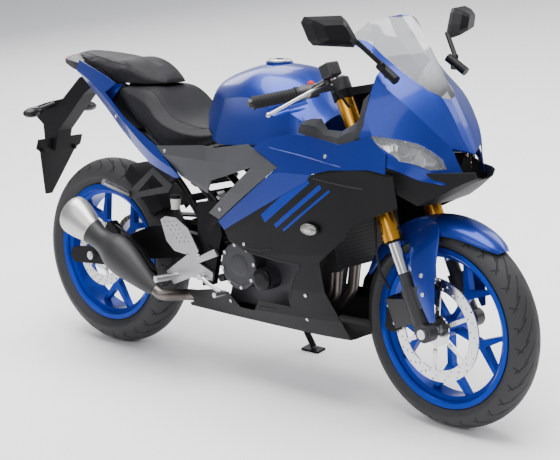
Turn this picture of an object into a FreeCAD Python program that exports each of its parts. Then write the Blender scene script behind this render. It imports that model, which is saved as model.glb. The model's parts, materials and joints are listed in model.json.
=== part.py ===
import FreeCAD, Part
import math
import os
import re

from FreeCAD import Placement, Rotation, Vector

# Sport bike that leans on its side stand. The bike is drawn upright: X runs forward from the
# rear axle, Y to the rider's left and Z up from the ground. Each piece then gets a placement
# that leans it, and the front end also turns about the steering axis.

SIZES = {
    # Chassis layout
    "WheelBase": 1380.0,
    "RakeAngle": 25.0,
    "Trail": 95.0,
    "LeanAngle": 9.0,
    "SteerRestAngle": 4.5,
    "SteerStopAngle": 34.0,
    "RunningClearance": 0.3,
    "SeatClearance": 0.3,
    "Overrun": 5.0,
    # Tyres and rims
    "FrontTyreRadius": 293.0,
    "FrontTyreWidth": 110.0,
    "FrontCrownDrop": 42.0,
    "FrontRimWidth": 76.0,
    "RearTyreRadius": 314.0,
    "RearTyreWidth": 140.0,
    "RearCrownDrop": 56.0,
    "RearRimWidth": 102.0,
    "BeadRadius": 216.0,
    "RimFlangeHeight": 14.0,
    "RimFlangeWidth": 5.0,
    "RimWall": 5.0,
    "RimWellDepth": 13.0,
    "TyreWall": 9.0,
    "SpokeCount": 5,
    "SpokeWidth": 17.0,
    "SpokeArmWidth": 12.0,
    "SpokeThickness": 22.0,
    "SpokeForkRadius": 118.0,
    "SpokeForkAngle": 17.5,
    "FrontSpokePhase": 56.0,
    "RearSpokePhase": 50.0,
    "FrontHubRadius": 30.0,
    "FrontHubHalf": 57.0,
    "RearHubRadius": 40.0,
    "RearHubRight": 73.0,
    "RearHubLeft": 79.0,
    # Axles
    "AxleRadius": 8.0,
    "FrontAxleHalf": 121.0,
    "RearAxleHalf": 137.0,
    "AxleNutRadius": 14.0,
    "AxleNutThickness": 10.0,
    "SpacerRadius": 13.0,
    # Brakes
    "FrontDiscRadius": 149.0,
    "FrontDiscInner": 116.0,
    "RearDiscRadius": 110.0,
    "RearDiscInner": 76.0,
    "DiscThickness": 4.5,
    "DiscHoleRadius": 3.2,
    "DiscHoleCount": 20,
    "CarrierWidth": 15.0,
    "CarrierArms": 6,
    "CaliperWidth": 54.0,
    "CaliperDepth": 44.0,
    "CaliperLength": 104.0,
    "CaliperSlot": 8.0,
    # Chain drive
    "SprocketRadius": 106.0,
    "SprocketTeeth": 42,
    "ToothDepth": 8.0,
    "SprocketThickness": 6.0,
    "FrontSprocketRadius": 36.0,
    "ChainLine": 85.0,
    "ChainHeight": 15.0,
    "ChainWidth": 15.0,
    # Fork and steering
    "ForkOffset": 28.0,
    "ForkHalfSpread": 100.0,
    "ForkInnerRadius": 18.5,
    "ForkOuterRadius": 25.5,
    "ForkCollarRadius": 29.0,
    "ForkCollarLength": 22.0,
    "ForkFootLow": 28.0,
    "ForkFootTop": 135.0,
    "ForkFootRadius": 26.0,
    "ForkSealHeight": 271.0,
    "ForkTopHeight": 748.0,
    "LowerYokeHeight": 467.0,
    "UpperYokeHeight": 690.0,
    "YokeThickness": 24.0,
    "YokeDepth": 62.0,
    "StemRadius": 14.0,
    "StemBore": 8.0,
    "StemBoreDepth": 60.0,
    "HeadTubeRadius": 27.0,
    # Frame and swingarm
    "SparRadius": 17.0,
    "RailRadius": 12.0,
    "PlateInset": 128.0,
    "PlateThickness": 20.0,
    "PivotRadius": 10.0,
    "ArmInset": 98.0,
    "ArmThickness": 26.0,
    # Panels
    "PanelWall": 3.0,
    "WheelArchRadius": 263.0,
    "SkinReach": 60.0,
    # Side stand
    "StandPinRadius": 6.2,
    "StandKnuckleHalf": 9.0,
    "StandKnuckleRadius": 18.0,
    "StandLegRadius": 10.0,
    "StandFootLength": 72.0,
    "StandFootWidth": 38.0,
    "StandFootThickness": 7.0,
    "StandFoldAngle": 94.0,
    # Fuel filler
    "FillerRadius": 20.0,
    "FillerDepth": 70.0,
    "CapRadius": 37.0,
    "CapThickness": 7.0,
    # Number plate bracket
    "PlateFaceWidth": 196.0,
    "PlateFaceHeight": 220.0,
    "PlateFaceWall": 4.0,
    "PlateBossDepth": 12.0,
    "PlateBoltRadius": 3.25,
    "PlateBoltSpacing": 140.0,
    "CapHingeRadius": 3.0,
    "CapHingeHalf": 11.0,
    "SteerLockAngle": 34.0,
}

# The body's outlines are shares of one drawing length, which follows the wheelbase.
WHEELBASE_SHARE = 1.38

doc = FreeCAD.newDocument("SportBike")
sheet = doc.addObject("Spreadsheet::Sheet", "Sizes")
for row, (alias, value) in enumerate(SIZES.items(), 1):
    sheet.set("A%d" % row, alias)
    sheet.set("B%d" % row, str(value))
    sheet.setAlias("B%d" % row, alias)
doc.recompute()


def size(alias):
    return float(getattr(sheet, alias))


def bind(item, **expressions):
    """Ties properties of a document object to cells of the sheet."""
    for prop, expression in expressions.items():
        tied = re.sub(r"[A-Z][A-Za-z]+", lambda word: "Sizes." + word.group(0), expression)
        item.setExpression(prop, tied)
    return item


WHEELBASE = size("WheelBase")
DRAWING = WHEELBASE / WHEELBASE_SHARE
RAKE = math.radians(size("RakeAngle"))
LEAN = math.radians(size("LeanAngle"))
FRONT_RADIUS = size("FrontTyreRadius")
REAR_RADIUS = size("RearTyreRadius")
WALL = size("PanelWall")
GAP = size("SeatClearance")
OVERRUN = size("Overrun")

X_AXIS = Vector(1, 0, 0)
Y_AXIS = Vector(0, 1, 0)
Z_AXIS = Vector(0, 0, 1)


def crown_radius(half_width, drop):
    """Radius of the arc that falls by drop over half a tyre's width."""
    return (half_width ** 2 + drop ** 2) / (2 * drop)


CROWN = crown_radius(size("RearTyreWidth") / 2, size("RearCrownDrop"))
LIFT = CROWN * (1 - math.cos(LEAN))
LEANED = Placement(Vector(0, 0, LIFT), Rotation(X_AXIS, -size("LeanAngle")))

# The fork's frame: its origin is the point of the steering axis nearest the front axle, its
# Z runs up the steering axis and its X points forward.
AXIS_SHARE = size("Trail") * math.sin(RAKE) + FRONT_RADIUS * math.cos(RAKE)
AXLE_LEAD = FRONT_RADIUS * math.sin(RAKE) - size("Trail") * math.cos(RAKE)
AXIS_FOOT = Vector(WHEELBASE + size("Trail"), 0, 0)
AXIS_DIRECTION = Vector(-math.sin(RAKE), 0, math.cos(RAKE))
FORK = Placement(AXIS_FOOT + AXIS_DIRECTION * AXIS_SHARE, Rotation(Y_AXIS, -size("RakeAngle")))
TURNED = Placement(Vector(), Rotation(Z_AXIS, -size("SteerRestAngle")))
STEERED = LEANED.multiply(FORK).multiply(TURNED)
FRONT_WHEEL = STEERED.multiply(Placement(Vector(AXLE_LEAD, 0, 0), Rotation()))
REAR_WHEEL = LEANED.multiply(Placement(Vector(0, 0, REAR_RADIUS), Rotation()))
# A wheel's pieces are drawn about Z and turned so that Z becomes the axle's line along Y.
ON_AXLE = Placement(Vector(), Rotation(X_AXIS, -90))

NODES = []


def node(item, label, placement):
    """Names a finished piece and sets it in its place on the leaning bike."""
    item.Label = label
    item.Placement = placement.multiply(item.Placement)
    NODES.append(item)
    return item


def feature(label, shape, placement):
    item = doc.addObject("Part::Feature", label)
    item.Shape = shape
    return node(item, label, placement)


def fitted(shape, frame, *labels):
    """The shape, drawn in a frame, cut back to the faces of neighbours that already stand."""
    tools = []
    for item in NODES:
        if item.Label in labels:
            tool = item.Shape.copy()
            tool.Placement = frame.inverse().multiply(tool.Placement)
            if tool.BoundBox.intersect(shape.BoundBox):
                tools.append(tool)
    return shape.cut(tools) if tools else shape


def largest(shape):
    return max(shape.Solids, key=lambda solid: solid.Volume)


def drawn(x, y, z):
    """A point of the upright bike, from shares of the drawing length."""
    return Vector(x, y, z) * DRAWING


def mirrored(shape):
    return shape.mirror(Vector(), Y_AXIS)


def pair(shape):
    """A right-hand piece with its left-hand twin."""
    return Part.makeCompound([shape, mirrored(shape)])


def rod(start, end, radius):
    along = end - start
    return Part.makeCylinder(radius, along.Length, start, along)


def tube_path(points, bend):
    """Straight runs joined by tangent arcs whose radius is as near bend as the runs allow."""
    edges = []
    last = points[0]
    for before, corner, after in zip(points, points[1:], points[2:]):
        back = (before - corner).normalize()
        ahead = (after - corner).normalize()
        turn = math.pi - back.getAngle(ahead)
        reach = min((before - corner).Length, (after - corner).Length) * 0.45
        cut_back = min(bend * math.tan(turn / 2), reach)
        start = corner + back * cut_back
        end = corner + ahead * cut_back
        radius = cut_back / math.tan(turn / 2)
        centre = corner + (back + ahead).normalize() * (radius / math.cos(turn / 2))
        middle = centre + (corner - centre).normalize() * radius
        edges.append(Part.LineSegment(last, start).toShape())
        edges.append(Part.Arc(start, middle, end).toShape())
        last = end
    edges.append(Part.LineSegment(last, points[-1]).toShape())
    return Part.Wire(edges)


def pipe(points, radius, bend):
    """A round bar along runs and arcs."""
    path = tube_path(points, bend)
    along = points[1] - points[0]
    ring = Part.Wire(Part.makeCircle(radius, points[0], along))
    return path.makePipeShell([ring], True, False)


def closed(points):
    return Part.makePolygon(list(points) + [points[0]])


def slab(outline, thickness):
    """A flat piece from a side-view outline of (x, z) points, from y = 0 to y = thickness."""
    face = Part.Face(closed([Vector(x, 0, z) for x, z in outline]))
    return face.extrude(Vector(0, thickness, 0))


def drawn_slab(outline_shares, start, thickness):
    outline = [(x * DRAWING, z * DRAWING) for x, z in outline_shares]
    piece = slab(outline, thickness)
    piece.translate(Vector(0, start, 0))
    return piece


def smooth_run(points):
    """One edge through the points: a line for two, a curve for more."""
    if len(points) == 2:
        return Part.LineSegment(points[0], points[1]).toShape()
    curve = Part.BSplineCurve()
    curve.interpolate(points)
    return curve.toShape()


def loft(wires, ruled=False):
    return Part.makeLoft(wires, True, ruled)


def shoelace(points):
    total = 0.0
    for (a, b), (c, d) in zip(points, points[1:] + points[:1]):
        total += a * d - b * c
    return total / 2


def inset(line, wall):
    """A flat open line of (a, b) points moved by wall to its right-hand side."""
    moved = []
    for i, (a, b) in enumerate(line):
        before = line[max(i - 1, 0)]
        after = line[min(i + 1, len(line) - 1)]
        normals = []
        for (p, q), (r, t) in ((before, line[i]), (line[i], after)):
            if (p, q) != (r, t):
                run = math.hypot(r - p, t - q)
                normals.append(((t - q) / run, -(r - p) / run))
        na = sum(n[0] for n in normals) / len(normals)
        nb = sum(n[1] for n in normals) / len(normals)
        scale = wall / (na * na + nb * nb)
        moved.append((a + na * scale, b + nb * scale))
    return moved


def shell_section(line, at, wall):
    """A thin closed section: the line and its inset, placed in space by at(a, b)."""
    outer = [at(a, b) for a, b in line]
    inner = [at(a, b) for a, b in inset(line, wall)]
    return closed(outer + inner[::-1])


def skin(stations, at, wall, ruled=False):
    """A thin shell through lines drawn at stations, as (place, line) pairs."""
    wires = []
    for place, line in stations:
        scaled = [(a * DRAWING, b * DRAWING) for a, b in line]
        wires.append(shell_section(scaled, lambda a, b: at(place * DRAWING, a, b), wall))
    return loft(wires, ruled)


def across(x, y, z):
    """Stations along X, lines of (y, z)."""
    return Vector(x, y, z)


def window(outline_shares, half_depth, at):
    """A tool that cuts or keeps what lies behind an outline, drawn in the plane of at."""
    low = [at(a * DRAWING, -half_depth, b * DRAWING) for a, b in outline_shares]
    high = at(0, half_depth, 0) - at(0, -half_depth, 0)
    return Part.Face(closed(low)).extrude(high)


def solids(shape):
    """The shape as one solid, or as a compound of its solids."""
    found = shape.Solids
    return found[0] if len(found) == 1 else Part.makeCompound(found)


# Wheels

def wheel_body(label, placement):
    body = doc.addObject("PartDesign::Body", label)
    return node(body, label, placement.multiply(ON_AXLE))


def origin_plane(body, role):
    return [item for item in body.Origin.OriginFeatures if item.Role == role][0]


def origin_sketch(body, name, role):
    sketch = body.newObject("Sketcher::SketchObject", name)
    sketch.AttachmentSupport = [(origin_plane(body, role), "")]
    sketch.MapMode = "FlatFace"
    return sketch


def sketch_polygon(sketch, points):
    places = [Vector(a, b, 0) for a, b in points]
    for start, end in zip(places, places[1:] + places[:1]):
        sketch.addGeometry(Part.LineSegment(start, end), False)


def revolve_in_body(body, sketch):
    feature_item = body.newObject("PartDesign::Revolution", sketch.Name + "Turned")
    feature_item.Profile = sketch
    feature_item.ReferenceAxis = (sketch, ["V_Axis"])
    feature_item.Angle = 360.0
    return feature_item


def tyre(label, placement, radius, width, drop, rim_width):
    """A hollow tyre: round crown, shoulders, side walls and beads on the rim."""
    body = wheel_body(label, placement)
    sketch = origin_sketch(body, label + "Section", "XZ_Plane")
    half = width / 2
    bead = rim_width / 2 - GAP
    seat = size("BeadRadius") + GAP
    wall = size("TyreWall")
    flange = size("BeadRadius") + size("RimFlangeHeight")

    def half_section(inward):
        crown = Vector(radius - inward, 0, 0)
        shoulder = Vector(radius - drop - inward * 0.4, half - inward, 0)
        quarter = crown_radius(half, drop)
        lean = math.asin(min(half / quarter, 1.0)) / 2
        mid = Vector(radius - quarter + (quarter - inward) * math.cos(lean),
                     (quarter - inward) * math.sin(lean), 0)
        lip = Vector(flange + size("RunningClearance") * 5, bead - inward * 0.9, 0)
        side = (shoulder + lip) * 0.5 + Vector(0, (half - bead) * 0.16, 0)
        foot = Vector(seat, bead - inward, 0)
        return crown, mid, shoulder, side, lip, foot

    outer = half_section(0)
    inner = half_section(wall)

    def draw(points, flip):
        crown, mid, shoulder, side, lip, foot = [Vector(p.x, p.y * flip, 0) for p in points]
        sketch.addGeometry(Part.Arc(crown, mid, shoulder), False)
        sketch.addGeometry(Part.Arc(shoulder, side, lip), False)
        sketch.addGeometry(Part.LineSegment(lip, foot), False)
        return foot

    for flip in (1, -1):
        outer_foot = draw(outer, flip)
        inner_foot = draw(inner, flip)
        sketch.addGeometry(Part.LineSegment(outer_foot, inner_foot), False)
    revolve_in_body(body, sketch)
    return body


def rim(label, placement, rim_width, hub_radius, hub_right, hub_left, phase):
    """A cast rim with a drop centre, a hub and forked spokes."""
    body = wheel_body(label, placement)
    half = rim_width / 2
    bead = size("BeadRadius")
    top = bead + size("RimFlangeHeight")
    lip = size("RimFlangeWidth")
    wall = size("RimWall")
    well = bead - size("RimWellDepth")
    ramp = size("RimWellDepth")
    side = [(top, half + lip), (top, half), (bead, half), (bead, half - ramp),
            (well, half - ramp - lip)]
    under = [(well - wall, half - ramp - lip + wall), (bead - wall, half - ramp + wall),
             (bead - wall, half), (bead, half + lip)]
    outline = side + [(r, -y) for r, y in side[::-1]]
    outline += [(r, -y) for r, y in under[::-1]] + under
    barrel = origin_sketch(body, label + "Barrel", "XZ_Plane")
    sketch_polygon(barrel, outline)
    revolve_in_body(body, barrel)
    bore = size("AxleRadius") + size("RunningClearance")
    hub = origin_sketch(body, label + "Hub", "XZ_Plane")
    sketch_polygon(hub, [(bore, -hub_right), (hub_radius, -hub_right), (hub_radius, hub_left),
                         (bore, hub_left)])
    revolve_in_body(body, hub)
    spoke = origin_sketch(body, label + "Spoke", "XY_Plane")
    sketch_polygon(spoke, spoke_outline(hub_radius, well - wall, phase))
    pad = body.newObject("PartDesign::Pad", label + "SpokePad")
    pad.Profile = spoke
    bind(pad, Length="SpokeThickness")
    pad.Midplane = True
    pattern = body.newObject("PartDesign::PolarPattern", label + "Spokes")
    pattern.Originals = [pad]
    pattern.Axis = (spoke, ["N_Axis"])
    pattern.Angle = 360.0
    bind(pattern, Occurrences="SpokeCount")
    body.Tip = pattern
    return body


def spoke_outline(hub_radius, barrel_radius, phase):
    """A stem from the hub that forks into two arms, drawn about the wheel's centre."""
    stem = size("SpokeWidth") / 2
    arm = size("SpokeArmWidth") / 2
    fork = size("SpokeForkRadius")
    spread = math.radians(size("SpokeForkAngle"))
    tip = barrel_radius + 2.0
    start = hub_radius - 3.0

    def polar(radius, angle, offset):
        return (radius * math.cos(angle) - offset * math.sin(angle),
                radius * math.sin(angle) + offset * math.cos(angle))

    upper = [(start, stem), (fork - stem, stem)]
    upper.append(polar(tip, spread, arm))
    upper.append(polar(tip, spread, -arm))
    outline = upper + [(fork + 2 * stem, 0.0)] + [(x, -y) for x, y in upper[::-1]]
    turn = math.radians(-phase)
    return [(x * math.cos(turn) - y * math.sin(turn), x * math.sin(turn) + y * math.cos(turn))
            for x, y in outline]


def disc(label, placement, radius, inner, hub_radius, arms, offset):
    """A drilled brake disc on a carrier with arms, offset along the axle."""
    body = wheel_body(label, placement)
    thickness = size("DiscThickness")
    ring = origin_sketch(body, label + "Ring", "XZ_Plane")
    sketch_polygon(ring, [(inner, offset - thickness / 2), (radius, offset - thickness / 2),
                          (radius, offset + thickness / 2), (inner, offset + thickness / 2)])
    revolve_in_body(body, ring)
    centre = origin_sketch(body, label + "Centre", "XZ_Plane")
    outer = hub_radius + size("CarrierWidth")
    core = size("SpacerRadius") + size("RunningClearance") * 10
    sketch_polygon(centre, [(core, offset - thickness / 2), (outer, offset - thickness / 2),
                            (outer, offset + thickness / 2), (core, offset + thickness / 2)])
    revolve_in_body(body, centre)
    arm = origin_sketch(body, label + "Arm", "XY_Plane")
    arm.AttachmentOffset = Placement(Vector(0, 0, offset), Rotation())
    half = size("CarrierWidth") / 2
    sketch_polygon(arm, [(outer - 2.0, -half), (inner + 3.0, -half * 0.7),
                         (inner + 3.0, half * 0.7), (outer - 2.0, half)])
    pad = body.newObject("PartDesign::Pad", label + "ArmPad")
    pad.Profile = arm
    bind(pad, Length="DiscThickness")
    pad.Midplane = True
    pattern = body.newObject("PartDesign::PolarPattern", label + "Arms")
    pattern.Originals = [pad]
    pattern.Axis = (arm, ["N_Axis"])
    pattern.Angle = 360.0
    pattern.Occurrences = arms
    body.Tip = pattern
    hole = origin_sketch(body, label + "Hole", "XY_Plane")
    hole.AttachmentOffset = Placement(Vector(0, 0, offset), Rotation())
    band = (radius - inner) / 3
    for i in range(3):
        angle = i * 2 * math.pi / size("DiscHoleCount") / 3
        spot = inner + band * (0.55 + i)
        middle = Vector(spot * math.cos(angle), spot * math.sin(angle), 0)
        hole.addGeometry(Part.Circle(middle, Z_AXIS, size("DiscHoleRadius")), False)
    pocket = body.newObject("PartDesign::Pocket", label + "Holes")
    pocket.Profile = hole
    pocket.Type = "ThroughAll"
    pocket.Midplane = True
    drilled = body.newObject("PartDesign::PolarPattern", label + "HoleRing")
    drilled.Originals = [pocket]
    drilled.Axis = (hole, ["N_Axis"])
    drilled.Angle = 360.0
    bind(drilled, Occurrences="DiscHoleCount")
    body.Tip = drilled
    return body


FRONT_PHASE = size("FrontSpokePhase") - size("RakeAngle")

tyre("front_tyre", FRONT_WHEEL, FRONT_RADIUS, size("FrontTyreWidth"), size("FrontCrownDrop"),
     size("FrontRimWidth"))
rim("front_rim", FRONT_WHEEL, size("FrontRimWidth"), size("FrontHubRadius"),
    size("FrontHubHalf"), size("FrontHubHalf"), FRONT_PHASE)
tyre("rear_tyre", REAR_WHEEL, REAR_RADIUS, size("RearTyreWidth"), size("RearCrownDrop"),
     size("RearRimWidth"))
rim("rear_rim", REAR_WHEEL, size("RearRimWidth"), size("RearHubRadius"),
    size("RearHubRight"), size("RearHubLeft"), size("RearSpokePhase"))

# Front end, drawn in the fork's frame

def cylinder(name, radius, height, placement=Placement()):
    item = doc.addObject("Part::Cylinder", name)
    bind(item, Radius=radius, Height=height)
    item.Placement = placement
    return item


def box(name, length, width, height, placement=Placement()):
    item = doc.addObject("Part::Box", name)
    bind(item, Length=length, Width=width, Height=height)
    item.Placement = placement
    return item


def fused(name, items):
    item = doc.addObject("Part::MultiFuse", name)
    item.Shapes = items
    return item


def cut(name, base, tool):
    item = doc.addObject("Part::Cut", name)
    item.Base = base
    item.Tool = tool
    return item


SPREAD = size("ForkHalfSpread")
OFFSET = size("ForkOffset")


def fork_uppers():
    items = []
    for side in (-1, 1):
        tag = "Right" if side < 0 else "Left"
        seal = Placement(Vector(OFFSET, side * SPREAD, size("ForkSealHeight")), Rotation())
        items.append(cylinder("ForkTube" + tag, "ForkOuterRadius",
                              "ForkTopHeight - ForkSealHeight", seal))
        items.append(cylinder("ForkCollar" + tag, "ForkCollarRadius", "ForkCollarLength", seal))
    return node(fused("ForkUppers", items), "fork_uppers", STEERED)


def fork_lowers():
    """Bright inner tubes in cast feet that clamp the axle."""
    inner = size("ForkInnerRadius")
    foot = size("ForkFootRadius")
    low = size("ForkFootLow")
    top = size("ForkFootTop")
    axle = Vector(AXLE_LEAD, 0, 0)
    tube = Part.makeCylinder(inner, size("ForkSealHeight") - GAP - low,
                             Vector(OFFSET, -SPREAD, low))
    casting = Part.makeCylinder(foot, top - low, Vector(OFFSET, -SPREAD, low))
    clamp = Part.makeCylinder(foot, FOOT_WIDTH, axle + Vector(0, -FOOT_OUTER, 0), Y_AXIS)
    web = Part.makeBox(foot * 1.5, FOOT_WIDTH, low + foot,
                       Vector(OFFSET - foot * 0.75, -FOOT_OUTER, -foot * 0.3))
    lug = drawn_slab([(-0.078, 0.040), (0.020, 0.034), (0.020, 0.100), (-0.078, 0.128)],
                     -LUG_OUTER, LUG_THICKNESS)
    ear = Part.makeBox(foot * 1.7, LUG_THICKNESS, foot * 2.4,
                       Vector(OFFSET, -SPREAD - foot * 0.55, top - foot * 2.6))
    foot_shape = casting.fuse([clamp, web, lug, ear, tube])
    bore = Part.makeCylinder(size("AxleRadius") + size("RunningClearance"), 2 * FOOT_OUTER,
                             axle + Vector(0, -FOOT_OUTER * 1.5, 0), Y_AXIS)
    right = foot_shape.cut(bore)
    left = mirrored(casting.fuse([clamp, web, ear, tube]).cut(bore))
    return feature("fork_lowers", Part.makeCompound([right, left]), STEERED)


FOOT_WIDTH = 34.0
FOOT_OUTER = 119.0
LUG_OUTER = 97.0
LUG_THICKNESS = 12.0


def yoke(height, thickness, tag):
    depth = size("YokeDepth")
    radius = depth / 2
    bar = Part.makeBox(depth, 2 * SPREAD, thickness, Vector(OFFSET - radius, -SPREAD, height))
    ends = [Part.makeCylinder(radius, thickness, Vector(OFFSET, side * SPREAD, height))
            for side in (-1, 1)]
    crown = Part.makeCylinder(radius, thickness, Vector(0, 0, height))
    shape = bar.fuse(ends + [crown])
    holes = [Part.makeCylinder(size("ForkOuterRadius") + 0.1, thickness * 3,
                               Vector(OFFSET, side * SPREAD, height - thickness))
             for side in (-1, 1)]
    return shape.cut(Part.makeCompound(holes))


def fork_clamps():
    low = size("LowerYokeHeight")
    high = size("UpperYokeHeight")
    thick = size("YokeThickness")
    stem = Part.makeCylinder(size("StemRadius"), high - low + thick, Vector(0, 0, low))
    shape = yoke(low, thick, "Lower").fuse([yoke(high, thick, "Upper"), stem])
    bore = Part.makeCylinder(size("StemBore"), size("StemBoreDepth") + OVERRUN,
                             Vector(0, 0, low - OVERRUN))
    return feature("fork_clamps", shape.cut(bore), STEERED)


def bar_base():
    return size("UpperYokeHeight") + size("YokeThickness") + GAP


def bar_root():
    """Where the right bar leaves its collar on the fork tube."""
    ring = size("YokeDepth") / 2
    return Vector(OFFSET, -SPREAD - ring * 0.6, (bar_base() + size("ForkTopHeight")) / 2)


def handlebars():
    """Clip-on bars with grips, switch housings, levers and the brake reservoir."""
    ring = size("YokeDepth") / 2
    base = bar_base()
    height = size("ForkTopHeight") - base
    collar = Part.makeCylinder(ring, height, Vector(OFFSET, -SPREAD, base))
    root = bar_root()
    end = BAR_END
    start = root + (end - root) * 0.45
    bar = rod(root, end, BAR_RADIUS)
    grip = rod(start, end, GRIP_RADIUS)
    weight = rod(end, end + (end - root).normalize() * BAR_RADIUS, BAR_RADIUS)
    housing = rod(root + (end - root) * 0.22, start, HOUSING_RADIUS)
    clamp = rod(root + (end - root) * 0.30, LEVER_ROOT, BAR_RADIUS)
    lever = pipe([LEVER_ROOT, LEVER_BEND, LEVER_END], LEVER_RADIUS, LEVER_RADIUS * 8)
    ball = Part.makeSphere(LEVER_RADIUS * 1.5, LEVER_END)
    knob = Part.makeSphere(LEVER_RADIUS * 2.2, LEVER_ROOT)
    common = collar.fuse([bar, grip, weight, housing, clamp, lever, ball, knob])
    hole = Part.makeCylinder(size("ForkOuterRadius") + 0.1, height * 3,
                             Vector(OFFSET, -SPREAD, base - height))
    side = common.cut(hole)
    cup = Part.makeBox(*RESERVOIR_SIZE, RESERVOIR - Vector(*RESERVOIR_SIZE) / 2)
    cup = cup.makeFillet(RESERVOIR_ROUND, cup.Edges)
    neck = rod(RESERVOIR, LEVER_ROOT, LEVER_RADIUS * 1.2)
    right = side.fuse([cup, neck])
    return feature("handlebars", Part.makeCompound([right, mirrored(side)]), STEERED)


BAR_END = Vector(-85.0, -335.0, 749.0)
BAR_RADIUS = 11.0
GRIP_RADIUS = 16.5
HOUSING_RADIUS = 20.0
LEVER_ROOT = Vector(62.0, -178.0, 738.0)
LEVER_BEND = Vector(40.0, -235.0, 722.0)
LEVER_END = Vector(-52.0, -322.0, 700.0)
LEVER_RADIUS = 5.0
RESERVOIR = Vector(80.0, -172.0, 764.0)
RESERVOIR_SIZE = (40.0, 46.0, 40.0)
RESERVOIR_ROUND = 5.0
KNUCKLE_ROOM = 9.0


def front_axle():
    nut = cylinder("FrontAxleNut", "AxleNutRadius", "AxleNutThickness",
                   Placement(Vector(0, 0, FOOT_OUTER + GAP), Rotation()))
    head = cylinder("FrontAxleHead", "AxleNutRadius", "AxleNutThickness",
                    Placement(Vector(0, 0, -FOOT_OUTER - GAP - size("AxleNutThickness")),
                              Rotation()))
    bar = cylinder("FrontAxleBar", "AxleRadius", "2 * FrontAxleHalf",
                   Placement(Vector(0, 0, -size("FrontAxleHalf")), Rotation()))
    hub = size("FrontHubHalf") + 1.0
    length = FOOT_OUTER - FOOT_WIDTH - GAP - hub
    sleeves = []
    for side, start in (("Right", hub), ("Left", -hub - length)):
        sleeve = cylinder("FrontSleeve" + side, "SpacerRadius", "AxleRadius",
                          Placement(Vector(0, 0, start), Rotation()))
        sleeve.setExpression("Height", None)
        sleeve.Height = length
        sleeves.append(sleeve)
    return node(fused("FrontAxle", [bar, nut, head] + sleeves), "front_axle",
                FRONT_WHEEL.multiply(ON_AXLE))


def fender_point(angle, y, r):
    turn = math.radians(angle)
    return Vector(AXLE_LEAD + r * math.cos(turn), y, r * math.sin(turn))


# Rows of the fender, from its front tip back: angle about the axle, half width at the edge,
# radius at the edge and radius at the middle, the last three as shares of the tyre's radius.
FENDER_SHARES = (
    (27.0, 0.075, 1.020, 1.045),
    (34.0, 0.150, 0.985, 1.060),
    (46.0, 0.200, 0.950, 1.068),
    (62.0, 0.225, 0.915, 1.070),
    (80.0, 0.230, 0.870, 1.070),
    (100.0, 0.228, 0.870, 1.068),
    (118.0, 0.215, 0.905, 1.062),
    (131.0, 0.190, 0.950, 1.055),
)
WING_SHARES = (
    (0.022, ((0.066, -0.113), (0.088, -0.112))),
    (0.080, ((0.061, -0.115), (0.110, -0.114))),
    (0.134, ((0.059, -0.114), (0.134, -0.110))),
    (0.190, ((0.060, -0.104), (0.158, -0.097))),
    (0.236, ((0.062, -0.086), (0.172, -0.078))),
    (0.262, ((0.066, -0.069), (0.168, -0.0645))),
    (0.276, ((0.068, -0.062), (0.162, -0.0580))),
)


def front_fender():
    wires = []
    for angle, half, edge, middle in FENDER_SHARES:
        half, edge, middle = [share * FRONT_RADIUS for share in (half, edge, middle)]
        line = [(-half, edge), (-half * 0.86, (edge + middle) / 2), (-half * 0.45, middle * 0.992),
                (0.0, middle)]
        line += [(-y, r) for y, r in line[-2::-1]]
        outer = [fender_point(angle, y, r) for y, r in line]
        inner = [fender_point(angle, y, r) for y, r in inset(line, WALL)]
        runs = [smooth_run(outer), smooth_run([outer[-1], inner[-1]]),
                smooth_run(inner[::-1]), smooth_run([inner[0], outer[0]])]
        wires.append(Part.Wire(runs))
    blade = loft(wires)
    wing = skin(WING_SHARES, lambda h, x, y: Vector(x, y, h), WALL, True)
    shape = blade.fuse([wing, mirrored(wing)])
    return feature("front_fender", largest(fitted(shape, STEERED, "fork_lowers")), STEERED)


def caliper(length, depth, width, slot, slot_depth):
    """A brake caliper about its own middle: X across the disc's rim, Z along it."""
    body = Part.makeBox(depth, width, length, Vector(-depth / 2, -width / 2, -length / 2))
    body = body.makeChamfer(depth * 0.2, [e for e in body.Edges
                                          if abs(e.tangentAt(e.FirstParameter).y) > 0.9])
    cut_tool = Part.makeBox(depth, slot, length * 2, Vector(-depth / 2 - slot_depth, -slot / 2,
                                                            -length))
    return body.cut(cut_tool)


def front_caliper():
    shape = caliper(size("CaliperLength"), size("CaliperDepth"), size("CaliperWidth") * 0.82,
                    size("CaliperSlot"), size("CaliperDepth") * 0.30)
    middle = size("FrontDiscRadius") - size("CaliperDepth") * 0.05
    angle = 146.0
    turn = Placement(Vector(), Rotation(Y_AXIS, -angle))
    centre = fender_point(angle, -DISC_LINE, middle)
    shape.Placement = Placement(centre, turn.Rotation)
    return feature("front_caliper", shape, STEERED)


DISC_LINE = 62.0
REAR_DISC_LINE = 79.0


def front_brake_hose():
    route = [(-0.078, -0.066, 0.150), (-0.070, -0.090, 0.200), (-0.040, -0.108, 0.260),
             (-0.018, -0.100, 0.330), (-0.012, -0.080, 0.400), (-0.008, -0.060, 0.466)]
    points = [drawn(*point) for point in route]
    return feature("front_brake_hose", pipe(points, 4.0, 40.0), STEERED)


doc.recompute()
fork_uppers()
fork_lowers()
fork_clamps()
handlebars()
front_axle()
front_fender()
front_caliper()
front_brake_hose()
disc("front_disc", FRONT_WHEEL, size("FrontDiscRadius"), size("FrontDiscInner"),
     size("FrontHubRadius"), 6, -DISC_LINE)


# Chassis


def plates(outline_shares, start, thickness):
    """A flat plate on the right with its twin on the left."""
    return pair(drawn_slab(outline_shares, -start - thickness, thickness))


def both_pipes(route_shares, radius, bend):
    points = [drawn(*point) for point in route_shares]
    return pair(pipe(points, radius, bend)).Solids


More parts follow.
